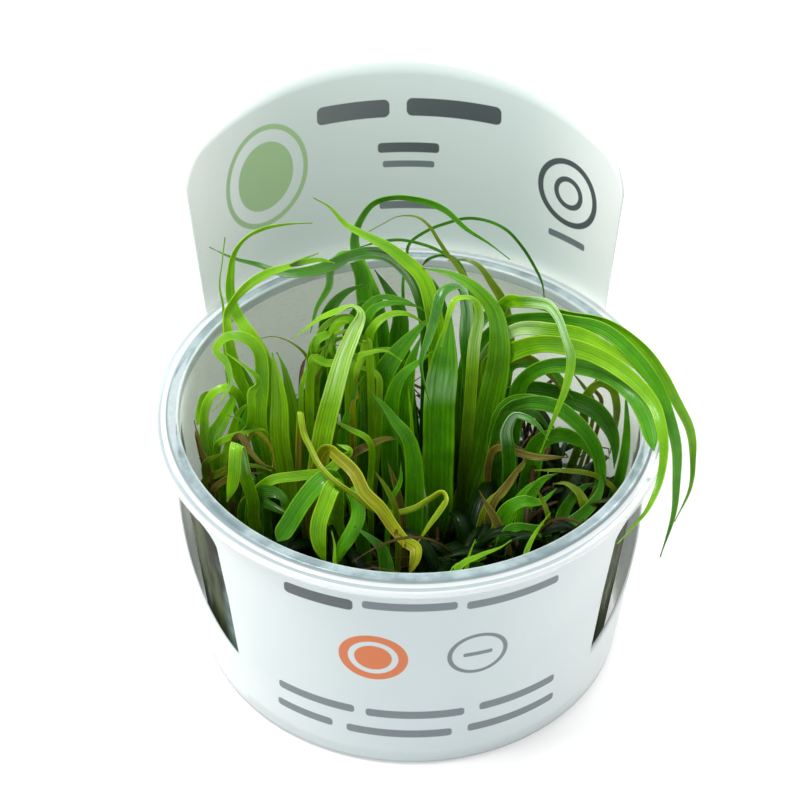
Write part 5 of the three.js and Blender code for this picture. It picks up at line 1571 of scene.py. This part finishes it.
LOW_STRAPS: tuple[Leaf, ...] = (
    Leaf("stem_right_brown", 0.8, 0.7, Tone.WITHERED, (
        (12, 3, 10), (13, 2.5, 27), (14.5, 2, 36.5), (17.5, 4, 32.5), (21, 6, 29.5), (25.5, 8, 27))),
    Leaf("strap_olive_low", 1.6, 0.6, Tone.OLIVE, (
        (10, -8, 10), (12.5, -6, 29.5), (15, -4, 31), (16.5, -2, 32.5), (18, -1, 33.5), (18.5, 0, 34.5))),
    Leaf("stem_brown_front", 0.9, 0.7, Tone.WITHERED, (
        (17, -12, 14), (15.5, -10, 23.5), (14.5, -9, 26), (13, -7, 28.5), (11, -4, 31))),
    Leaf("strap_lime_small", 1.0, 0.6, Tone.LIME, (
        (17, -13, 18), (18.5, -12, 25.5), (19.5, -11, 26.5), (20.5, -10, 28), (21.5, -9, 29), (22, -8, 30))),
    Leaf("strap_front_rim", 0.9, 0.7, Tone.LIME, (
        (5, -21, 14), (7, -20, 29.5), (9.5, -18, 29), (12, -16, 28.5), (14, -14, 28), (16.5, -12, 28))),
    Leaf("strap_low_mid", 1.0, 0.7, Tone.MID, (
        (8, -20, 14), (8.5, -19, 29), (9, -18, 29.5), (10, -16, 29), (10.5, -14, 29.5))),
    Leaf("blade_right_a", 2.4, 0.6, Tone.MID, (
        (17, -7, 10), (18, -6, 20.5), (18, -5, 25.5), (19, -4, 29.5), (21, -3, 32.5, 20),
        (23.5, -3, 34, 40))),
    Leaf("blade_right_b", 2.0, 0.6, Tone.DARK, (
        (23, -9, 14), (24, -8, 24), (24, -7, 27.5), (25.5, -6, 31), (27.5, -5, 33, 20), (29.5, -4, 33, 40))),
    Leaf("blade_right_c", 1.9, 0.6, Tone.OLIVE, (
        (27, -9, 14), (28.5, -8, 28.5), (27.5, -8, 32), (26.5, -7, 33.5, 20), (24.5, -6, 34.5, 40),
        (22.5, -6, 34.5, 40))),
    Leaf("blade_right_d", 1.9, 0.5, Tone.MID, (
        (14, -10, 14), (15, -9, 27), (16.5, -8, 31.5), (18.5, -7, 34.5), (21, -6, 36, 20))),
    Leaf("nub_left", 1.5, 0.7, Tone.LIME, (
        (-30.5, 1, 46.5), (-32.3, 1.5, 45), (-33, 1, 42.5), (-33.6, 0, 40.5))),
    Leaf("strap_olive_left", 1.6, 0.8, Tone.OLIVE, (
        (-28.5, -3, 11), (-31.5, -3, 29.5), (-30.5, -4, 32), (-28, -5, 35), (-25, -6, 37.5))),
    Leaf("strap_dark_left", 2.2, 0.6, Tone.DARK, (
        (-24, -3, 10), (-25.5, -2, 30.5), (-24, -4, 28.5), (-21.5, -6, 28.5), (-17.5, -8, 28))),
    Leaf("strap_old_pale", 1.3, 0.8, Tone.WITHERED, (
        (-11, 0, 10), (-10.5, -1, 34), (-8, -2, 37.5), (-6.5, -2, 38.5), (-4, -1.5, 39.5), (-1.5, -1, 39))),
    Leaf("strap_lime_mid", 1.0, 0.8, Tone.LIME, (
        (-6, -3, 10), (-6.3, -2.8, 30), (-6.5, -2.5, 40), (-9.5, -2, 42), (-12, -1.5, 43.5),
        (-12.5, -1, 44.5))),
    Leaf("strap_yellow_mid", 0.8, 0.8, Tone.YELLOW, (
        (-9.5, 0, 10), (-9.2, -0.5, 36), (-9, -0.5, 46.5), (-8.5, 0, 47), (-8.5, 0.5, 48.5),
        (-8.5, 1, 50.5))),
    Leaf("strap_dark_mid", 1.4, 0.5, Tone.DARK, (
        (-8, 0, 10), (-7.5, 0.5, 41.5), (-7.5, 1, 44), (-7.5, 1.5, 46.5), (-7, 2, 48.5))),
    Leaf("tip_left_arch", 0.9, 0.3, Tone.LIME, (
        (-19, 8, 66.5), (-16.5, 8.5, 67), (-14, 9, 67), (-12, 9.5, 66))),
    Leaf("prong_yellow", 0.8, 0.6, Tone.YELLOW, (
        (-2, -17, 35), (-2, -17.5, 34), (-1, -18, 33), (-1, -18.5, 32.5))),
    Leaf("thread_teal", 0.5, 0.7, Tone.TEAL, (
        (1.5, 16, 60.5), (2.5, 17, 61, 30), (4.5, 18, 61, 30), (5.5, 18.5, 60))),
    Leaf("loop_pale_a", 1.0, 0.8, Tone.LIME_PALE, (
        (-14, 3, 10), (-15, 3, 38), (-14.5, 3, 49.5), (-13.5, 3.5, 53, 10), (-11.5, 4, 55.5, 40),
        (-9.5, 4, 55.5, 60), (-7.5, 3.5, 54, 40), (-7.5, 3, 51.5, 10))),
    Leaf("loop_pale_b", 0.9, 0.8, Tone.LIME, (
        (-6, 4, 10), (-5.5, 4.5, 38), (-6, 4.5, 49.5), (-7, 5, 53.5, 10), (-9.5, 5.5, 55.5, 40),
        (-12, 5.5, 55, 50), (-14, 5, 54, 40), (-15.5, 4.5, 52, 30))),
    Leaf("loop_pale_c", 0.8, 0.7, Tone.LIME_PALE, (
        (-15, 1, 10), (-17, 1, 38), (-17, 1, 48.5), (-16, 1.5, 51.5), (-14.5, 2, 54.5, 20),
        (-12.5, 2.5, 55.5, 50), (-10, 2.5, 55, 60))),
    Leaf("strap_tuft_low", 1.5, 0.6, Tone.MID, (
        (-11, -1, 10), (-10.8, -1, 30), (-10.5, -1, 41), (-9.5, -0.5, 45), (-8.5, 0, 49), (-7, 0.5, 51.5))),
    Leaf("strap_left_mid_a", 1.7, 0.7, Tone.LIME, (
        (-27, 0, 10), (-30, 0, 31), (-29, 0, 35), (-28, 0.5, 39), (-27, 1, 42.5, 10), (-25, 1.5, 44.5, 30))),
    Leaf("strap_left_mid_b", 1.3, 0.7, Tone.MID, (
        (-22, -4, 10), (-23.5, -3, 34), (-24, -3, 38), (-25, -3, 42, 10), (-26.5, -3, 44.5, 40),
        (-28.5, -3, 45.5, 40))),
    Leaf("strap_left_brown_a", 0.8, 0.7, Tone.WITHERED, (
        (-28.5, -4, 11), (-32, -4, 36), (-33, -3, 38.5), (-33.5, -2, 41), (-33.9, -1, 42.5))),
    Leaf("strap_left_brown_b", 0.8, 0.8, Tone.OLIVE, (
        (-28.5, -5, 11), (-32.5, -4, 34.5), (-32, -4.5, 37), (-30.5, -5, 38.5), (-28.5, -5.5, 40))),
    Leaf("strap_left_tangle_a", 0.9, 0.7, Tone.WITHERED, (
        (-29, -2.5, 10), (-33.5, -3, 42), (-33, -4, 41), (-32.5, -5, 39.5), (-33, -5, 38))),
    Leaf("strap_left_tangle_b", 1.2, 0.7, Tone.OLIVE, (
        (-28.5, -4.5, 10), (-32.5, -4, 32), (-30, -4, 34), (-27, -5, 36.5), (-24, -6, 37.5),
        (-21.5, -7, 37.5))),
    Leaf("strap_left_tangle_c", 1.0, 0.7, Tone.WITHERED, (
        (-28.5, -5.5, 10), (-31, -6, 32), (-29.5, -6, 34), (-27, -7, 36.5), (-23, -8, 38))),
    Leaf("strap_left_lime_c", 1.3, 0.6, Tone.LIME, (
        (-29, -2, 10), (-30.5, -2, 37), (-29.5, -3, 40), (-26.5, -4, 42.5), (-23, -4, 43.5),
        (-21.5, -4, 41.5))),
    Leaf("strap_left_back", 2.2, 0.6, Tone.MID, (
        (-18.5, 3, 10), (-18, 3, 39), (-17, 3, 43.5), (-15, 3, 47.5), (-13, 3, 51.5))),
    Leaf("strap_left_shadow", 3.0, 0.6, Tone.DARK, (
        (-24, -9, 10), (-24, -9, 33.5), (-22.5, -10, 36), (-20, -11, 36), (-18.5, -12, 33))),
    Leaf("strap_left_rise", 1.6, 0.6, Tone.MID, (
        (-26, -3, 10), (-26, -3, 34), (-26.5, -2, 39.5), (-25.5, -2, 45.5), (-24, -1, 48))),
    Leaf("blade_mid_sheen", 3.0, 0.5, Tone.MID, (
        (0.5, -7, 10), (0, -7, 43.5), (-2.5, -7, 48.5), (-4.5, -7, 52), (-6.5, -7, 54.5))),
    Leaf("blade_mid_right", 2.8, 0.6, Tone.MID, (
        (-2.5, 1, 10), (-3, 1, 45), (-1.5, 1, 50.5), (1, 1.5, 53), (3.5, 2, 55))),
    Leaf("loop_tangle_a", 1.0, 0.8, Tone.LIME_PALE, (
        (-14.5, 4, 10), (-15, 4, 51), (-14, 4, 57), (-12, 5, 58.5), (-9.5, 5, 59), (-8.5, 5, 56.5),
        (-9.5, 4, 54))),
    Leaf("loop_tangle_b", 1.5, 0.8, Tone.LIME, (
        (-15.5, 2, 10), (-15.5, 2, 53), (-14.5, 2, 57), (-12.5, 3, 57), (-12.5, 2, 55), (-11.5, 2, 52))),
    Leaf("loop_tangle_c", 1.6, 0.8, Tone.LIME, (
        (-12, 6, 10), (-12.5, 6, 50), (-12.5, 6, 53.5), (-11.5, 7, 55.5), (-9.5, 7, 56.5), (-8, 7, 55.5))),
    Leaf("loop_tangle_d", 1.3, 0.7, Tone.LIME, (
        (-16, 1, 10), (-15.5, 1, 52), (-15, 1, 54), (-13, 1, 53), (-10.5, 1, 53.5), (-7, 0, 56),
        (-4, 0, 56.5), (-1.5, 0, 54.5))),
    Leaf("loop_tangle_e", 1.2, 0.8, Tone.LIME_PALE, (
        (-6, 3, 10), (-6.5, 3, 52), (-7, 3, 56), (-7.5, 3, 53.5), (-8.5, 2, 50.5), (-9, 2, 44))),
    Leaf("fan_top_a", 2.3, 0.6, Tone.MID, (
        (-7, 7, 10), (-8, 7, 51.5), (-7, 7, 57), (-5.5, 7.5, 59), (-2.5, 8, 59.5), (1.5, 8, 58.5))),
    Leaf("fan_top_b", 2.0, 0.6, Tone.LIME, (
        (-6, 5, 10), (-7, 5, 52.5), (-6, 5, 57), (-4, 6, 58.5), (-1, 6, 59), (2.5, 6, 56.5))),
    Leaf("fan_top_c", 1.6, 0.6, Tone.MID, (
        (-8, 8, 10), (-8.5, 8, 52), (-8, 8, 57), (-5.5, 9, 59.5), (-2, 9, 59.5), (2, 9, 57))),
    Leaf("blade_back_dark_a", 3.2, 0.6, Tone.DARK, (
        (-13, 12, 10), (-13.5, 12, 47), (-13, 12, 54), (-10.5, 12, 58), (-7, 12, 60))),
    Leaf("blade_back_dark_b", 2.8, 0.6, Tone.DARK, (
        (-9.5, 11, 10), (-10, 11, 48), (-9.5, 11, 53.5), (-8, 11, 56.5), (-5.5, 11, 57.5))),
    Leaf("strap_mid_thread", 0.8, 0.8, Tone.MID, (
        (-3.5, -12, 10), (-3, -12, 35.5), (-1.5, -12, 40.5), (-1.5, -12, 44.5))),
    Leaf("stem_mid_brown", 1.0, 0.8, Tone.WITHERED, (
        (-0.5, -11, 10), (-1, -11, 31), (-2, -11, 37.5), (-3.5, -11, 43.5))),
    Leaf("stem_mid_brown_b", 0.9, 0.8, Tone.OLIVE, (
        (-2, -13, 10), (-2, -13, 34), (-3.5, -13, 39.5), (-5.5, -13, 43.5))),
    Leaf("blade_front_olive", 2.6, 0.5, Tone.DARK, (
        (-3.5, -20, 10), (-4, -20, 33), (-6, -20, 36), (-8.5, -19, 37.5))),
    Leaf("strap_front_pale", 0.8, 0.6, Tone.LIME_PALE, (
        (-11, -20, 10), (-11.5, -20, 31), (-11.5, -19, 33.5), (-12, -18, 35.5))),
    Leaf("stem_right_a", 1.2, 0.8, Tone.WITHERED, (
        (13, 1, 10), (13, 1, 34.5), (14.5, 0, 36.5), (17, 0, 35.5), (20, -1, 35.5), (25, -2, 36.5))),
    Leaf("stem_right_b", 1.3, 0.8, Tone.WITHERED, (
        (12, -8, 10), (13, -8, 31.5), (15.5, -7, 35.5), (18, -6, 40))),
    Leaf("stem_right_c", 1.4, 0.8, Tone.WITHERED, (
        (16, -15, 10), (15.5, -14, 27), (13.5, -13, 33), (11, -12, 37.5))),
    Leaf("stem_right_d", 0.8, 0.8, Tone.OLIVE, (
        (28.5, -5, 10), (32.5, -5, 32), (30, -4, 34), (28, -4, 35), (24, -4, 35.5), (19.5, -4, 35.5))),
    Leaf("blade_right_lit", 2.8, 0.5, Tone.MID, (
        (14, -10, 10), (15, -10, 32), (17.5, -10, 34.5), (20.5, -9, 33.5), (23, -8, 35.5))),
    Leaf("strap_right_thin", 0.8, 0.8, Tone.OLIVE, (
        (22, -12, 10), (21.5, -12, 33.5), (20.5, -11, 36), (19.5, -11, 38.5))),
    Leaf("blade_rim_lime", 1.2, 0.5, Tone.LIME, (
        (17, -20, 10), (18, -20, 33.5), (19.5, -18, 36), (21.5, -17, 39))),
    Leaf("strap_rim_lime", 1.3, 0.5, Tone.LIME, (
        (6.5, -25, 10), (7.5, -25, 35), (10.5, -24, 36.5), (14, -22, 36.5), (15.5, -21, 37))),
    Leaf("strap_rim_small", 1.0, 0.5, Tone.LIME, ((8, -24, 10), (9, -23, 35), (10, -22, 38))),
    Leaf("strap_curve_low", 1.9, 0.8, Tone.TEAL, (
        (14, -15, 10), (15.5, -15, 33), (20.5, -14, 32), (24.5, -12, 31.5), (28, -9, 32), (30, -6, 33.5),
        (30, -4, 35.5))),
    Leaf("blade_right_sheen", 3.0, 0.5, Tone.DARK, (
        (14, 2, 10), (14.5, 2, 40), (16, 2, 43), (19.5, 2, 42), (22.5, 2, 38))),
    Leaf("blade_right_wide", 2.5, 0.6, Tone.MID, (
        (14, 4, 10), (14, 4, 39), (16, 4, 42.5), (19.5, 4, 43), (24, 4, 41), (27.5, 3, 37.5))),
    Leaf("strap_right_high", 1.8, 0.6, Tone.MID, (
        (14, 9, 10), (14.5, 9, 42), (16.5, 9, 46.5), (22, 9, 45), (25.5, 8, 41), (29.5, 8, 36))),
    Leaf("stem_right_back_a", 0.7, 0.8, Tone.OLIVE, (
        (26.5, 12.5, 10), (30, 15, 32.5), (28, 15, 36.5), (26, 15, 39.5))),
    Leaf("stem_right_back_b", 0.7, 0.8, Tone.WITHERED, (
        (27, 11, 10), (31, 13, 35), (29.5, 13, 38), (30.5, 13, 41))),
    Leaf("strap_right_wall", 1.7, 0.6, Tone.MID, (
        (29, -2.5, 10), (33.5, -2, 34), (34, 0, 40.5), (33.5, 2, 47))),
)


@dataclass
class RootBed:
    """The mat of roots on the cup's floor with its thickets, fine stems and blades."""

    radius: float = 30.5
    bottom: float = 1.5
    height: float = 8.9
    edge_height: float = 5.0
    fall_power: float = 7.0
    rings: int = 90
    sides: int = 240
    wall_radius: float = 31.5
    wall_slope: float = 0.088
    stations: int = 12

    def surface(self, x: Array, y: Array) -> Array:
        """Height of the mat: flat, falling to its edge by the share to a power, with its thickets.

        A thicket adds its height times the square of 1 minus the squared share of its radius.

        Args:
            x: places to the right in mm.
            y: places to the back in mm.

        Returns:
            The height in mm at each place.
        """
        share = np.clip(np.hypot(x, y) / self.radius, 0, 1)
        dome = self.height + (self.edge_height - self.height) * share ** self.fall_power
        growth = np.zeros_like(share)
        for thicket in THICKETS:
            away = np.clip(np.hypot(x - thicket.x, y - thicket.y) / thicket.radius, 0, 1)
            growth = np.maximum(growth, thicket.height * (1 - away ** 2) ** 2)
        return self.bottom + dome + growth

    def top(self, share: Array, angle: Array) -> Array:
        """The mat's height in polar places, set down a little, with two sizes of fine lumps.

        Args:
            share: shares of the mat's radius.
            angle: angles in radians.

        Returns:
            The height in mm at each place.
        """
        reach = self.radius * share
        fine = 0.35 * np.sin(23 * angle + 17 * share) * np.sin(41 * share + 3 * angle)
        finer = 0.25 * np.sin(57 * angle - 31 * share) * np.sin(90 * share)
        level = self.surface(reach * np.cos(angle), reach * np.sin(angle))
        return level - 0.6 + (fine + finer) * (1 - share ** 6)

    def mat(self) -> Object:
        """The closed mound: rings of the top surface, a flat underside and a pole at each middle.

        Returns:
            The mound.
        """
        shares = np.linspace(0, 1, self.rings + 1)[1:]
        angles = np.arange(self.sides) * (2 * math.pi / self.sides)
        share, angle = np.meshgrid(shares, angles, indexing="ij")
        reach = self.radius * share
        top = np.stack([reach * np.cos(angle), reach * np.sin(angle), self.top(share, angle)], -1)
        under = top[-1:].copy()
        under[..., 2] = self.bottom
        middle = float(self.top(np.array(0.0), np.array(0.0)))
        poles = [[0, 0, middle], [0, 0, self.bottom]]
        return close_rings("root_bed", np.concatenate([top, under]), poles, flip=True)

    def paths(self, growth: Growth, rng: np.random.Generator) -> tuple[Array, ...]:
        """Middle lines of the strands with their directions.

        A strand's place at share t is its foot on the mat, plus its reach times t to the power 1.5
        along its own heading, plus its curl times t squared aside, plus its height times sin(2 t).
        The whole is kept inside the cup's wall.

        Args:
            growth: their kind.
            rng: the random numbers.

        Returns:
            Places, directions across and directions of the face, one row for each strand.
        """
        n = growth.count
        t = np.linspace(0, 1, self.stations)[None, :, None]
        radius = np.sqrt(rng.uniform(growth.radius[0] ** 2, growth.radius[1] ** 2, n))
        azimuth = np.radians(rng.uniform(*growth.sector, n))
        x, y = radius * np.cos(azimuth), radius * np.sin(azimuth)
        foot = np.stack([x, y, self.surface(x, y) - 1.2], -1)
        heading = azimuth + rng.normal(0, growth.spread, n)
        out = np.stack([np.cos(heading), np.sin(heading), np.zeros(n)], -1)
        aside = np.stack([-np.sin(heading), np.cos(heading), np.zeros(n)], -1)
        reach = rng.uniform(*growth.reach, n)[:, None, None]
        height = rng.uniform(*growth.height, n)[:, None, None]
        curl = rng.normal(0, growth.bend, n)[:, None, None]
        up = np.array([0.0, 0.0, 1.0])
        path = foot[:, None] + out[:, None] * reach * t ** 1.5 + aside[:, None] * curl * t ** 2
        path = path + up * height * np.sin(2.0 * t)
        limit = self.wall_radius + self.wall_slope * path[..., 2]
        beyond = np.maximum(np.linalg.norm(path[..., :2], axis=-1) / limit, 1.0)
        path[..., :2] /= beyond[..., None]
        run = unit(np.gradient(path, axis=1))
        lean = unit(out[:, None] * 0.3 + aside[:, None] * rng.normal(0, 0.5, n)[:, None, None] + up)
        across = unit(np.cross(run, lean + 0.01))
        return path, across, np.cross(across, run)

    def strands(self, growth: Growth) -> Object:
        """Many thin folded strands as one mesh, each station with two margins, a keel and a groove.

        A strand at share t is as wide as its own width times 0.45 plus 1.1 t to the power 0.6, and
        narrows to its tip by 1 minus t cubed.

        Args:
            growth: their kind.

        Returns:
            The mesh, with the values that its tissue reads.
        """
        rng = np.random.default_rng(growth.seed)
        n = growth.count
        path, across, face = self.paths(growth, rng)
        t = np.linspace(0, 1, self.stations)[None, :, None]
        width = rng.uniform(*growth.width, n)[:, None, None] * (0.45 + 1.1 * t ** 0.6) * (1 - t ** 3) + 0.1
        corners = [(-0.5, 0.1), (0.0, 0.16), (0.5, 0.1), (0.0, -0.08)]
        skin = np.stack([path + across * width * s + face * width * f for s, f in corners], 2)
        points = skin.reshape(-1, 3)
        rings = ring_faces(self.stations, 4)
        first = (np.arange(n) * self.stations * 4)[:, None, None]
        sides = (rings[None] + first).reshape(-1, 4)
        start = (np.array([0, 1, 2, 3]) + first).reshape(-1, 4)
        end = (np.array([3, 2, 1, 0]) + (self.stations - 1) * 4 + first).reshape(-1, 4)
        piece = make_mesh(growth.name, points, [sides[:, ::-1], start, end])
        u = np.tile([0.0, 0.5, 1.0, 0.5], n * self.stations)
        v = np.broadcast_to(t, (n, self.stations, 4)).ravel()
        set_uv(piece, "strap", np.stack([u, v], -1))
        for name in ("shine", "light"):
            set_value(piece, name, np.zeros(len(points)))
        # Painted shade: each strand is darkest at its foot and clear of it past six tenths of its length.
        set_value(piece, "shade", 0.9 * smooth(v, 0.6, 0.1))
        set_value(piece, "dry", growth.dry * np.repeat(rng.uniform(0.3, 1, n), self.stations * 4))
        return piece

    def soil(self) -> Material:
        """Near-black roots: brown and green-black threads from two stretched noises.

        Returns:
            The material.
        """
        material, sheet = new_material("root_fibres")
        threads = sheet.noise(420.0, 5.0, None, (1.0, 0.25, 1.0))
        cross = sheet.noise(380.0, 5.0, None, (0.25, 1.0, 1.0))
        woven = sheet.math("MAXIMUM", threads, cross)
        colour = sheet.mix(sheet.ramp(woven, 0.5, 0.68), "#040602", "#171506")
        colour = sheet.mix(sheet.ramp(sheet.noise(90.0, 3.0), 0.5, 0.7, 0.0, 0.7), colour, "#0c1805")
        sheet.surface(Base_Color=colour, Roughness=0.7, Normal=sheet.bump(woven, 0.0008, 0.9))
        return material

    def build(self, effects: Effects) -> None:
        """Makes the mat and its growth in the place of the root mat's node.

        Args:
            effects: the shared effects.
        """
        settle(self.mat(), "root_mat", "roots", self.soil())
        for growth in GROWTHS:
            tissue = strap_material(PAINTED_SHADE_LOW_FINISHES[growth.tone], f"{growth.name}_tissue", effects)
            settle(self.strands(growth), "root_mat", "roots", tissue)


# The studio


@dataclass
class Studio:
    """Camera, plain pale floor and soft lights."""

    elevation: float = 42.19
    distance: float = 405.14
    roll: float = -0.73
    target: Triple = (-1.73, 0.0, 46.43)
    focal_pixels: float = 2600.0
    frame_pixels: float = 800.0
    sensor: float = 36.0
    sky_low: float = 0.35
    sky_high: float = 0.8
    floor_half: float = 3000.0
    floor_drop: float = -0.15
    floor_glow: float = 0.45
    aim: Triple = (0.0, 0.0, 0.04)

    def camera(self) -> None:
        """Sets the camera where the picture was taken from."""
        up_angle = math.radians(self.elevation)
        back = Vector((0.0, -math.cos(up_angle), math.sin(up_angle)))
        right = Vector((1.0, 0.0, 0.0))
        above = back.cross(right)
        r = math.radians(self.roll)
        side = right * math.cos(r) - above * math.sin(r)
        top = right * math.sin(r) + above * math.cos(r)
        data = bpy.data.cameras.new("picture_camera")
        data.sensor_width = self.sensor
        data.lens = self.sensor * self.focal_pixels / self.frame_pixels
        data.clip_start = 0.01
        view = bpy.data.objects.new("picture_camera", data)
        view.matrix_world = Matrix((side, top, back)).transposed().to_4x4()
        view.location = (Vector(self.target) + back * self.distance) * MM
        bpy.context.scene.collection.objects.link(view)
        bpy.context.scene.camera = view

    def floor(self) -> None:
        """A wide pale floor just under the tub."""
        corners = np.array([[x * self.floor_half, y * self.floor_half, self.floor_drop]
                            for x, y in ((-1, -1), (1, -1), (1, 1), (-1, 1))])
        piece = make_mesh("floor", corners, [np.array([[0, 1, 2, 3]])], smooth_faces=False)
        material, sheet = new_material("floor_paper")
        grain = sheet.noise(40.0, 2.0)
        colour = sheet.mix(sheet.ramp(grain, 0.3, 0.7, 0.0, 0.4), "#cfcfcf", "#cbcccc")
        sheet.surface(Base_Color=colour, Roughness=0.6, Specular_IOR_Level=0.2,
                      Emission_Color="#ffffff", Emission_Strength=self.floor_glow)
        piece.data.materials.append(material)

    def light(self, name: str, place: tuple, size: float, power: float, tint: str = "#ffffff") -> None:
        """A square area light that looks at the tub's middle.

        Args:
            name: the light's name.
            place: where it hangs, in metres.
            size: the length of its side in metres.
            power: its power in watts.
            tint: its colour.
        """
        data = bpy.data.lights.new(name, "AREA")
        data.size = size
        data.energy = power
        data.color = linear(tint)[:3]
        lamp = bpy.data.objects.new(name, data)
        lamp.location = place
        look = Vector(self.aim) - Vector(place)
        lamp.rotation_euler = look.to_track_quat("-Z", "Y").to_euler()
        bpy.context.scene.collection.objects.link(lamp)

    def sky(self) -> None:
        """A grey sky that grows brighter from the horizon to the top."""
        world = bpy.data.worlds.new("studio")
        world.use_nodes = True
        sheet = Sheet(world.node_tree)
        height = sheet.split(sheet.add("ShaderNodeTexCoord").outputs["Generated"])[2]
        strength = sheet.ramp(height, -0.1, 1.0, self.sky_low, self.sky_high)
        glow = sheet.add("ShaderNodeBackground", {"Color": "#ffffff", "Strength": strength})
        sheet.add("ShaderNodeOutputWorld", {0: glow.outputs[0]})
        bpy.context.scene.world = world

    def build(self) -> None:
        """Sets the camera, the floor, the sky and the lights."""
        self.camera()
        self.floor()
        self.sky()
        self.light("top_left", (-0.3, -0.1, 0.7), 0.22, 4.2)
        self.light("back_right", (0.3, 0.4, 0.6), 0.25, 2.1)
        self.light("front_low", (0.1, -0.9, 0.35), 0.6, 0.5)
        bpy.context.scene.view_settings.view_transform = "Standard"


def main() -> None:
    """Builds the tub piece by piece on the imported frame."""
    logging.basicConfig(level=logging.INFO, format="%(name)s: %(message)s")
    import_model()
    Studio().build()
    effects = Effects()
    ClearCup().build()
    PrintedWrap().build(effects)
    RootBed().build(effects)
    LeafTuft().build(effects)
    LeafTuft(LOW_STRAPS, small=True).build(effects)


if __name__ == "__main__":
    main()
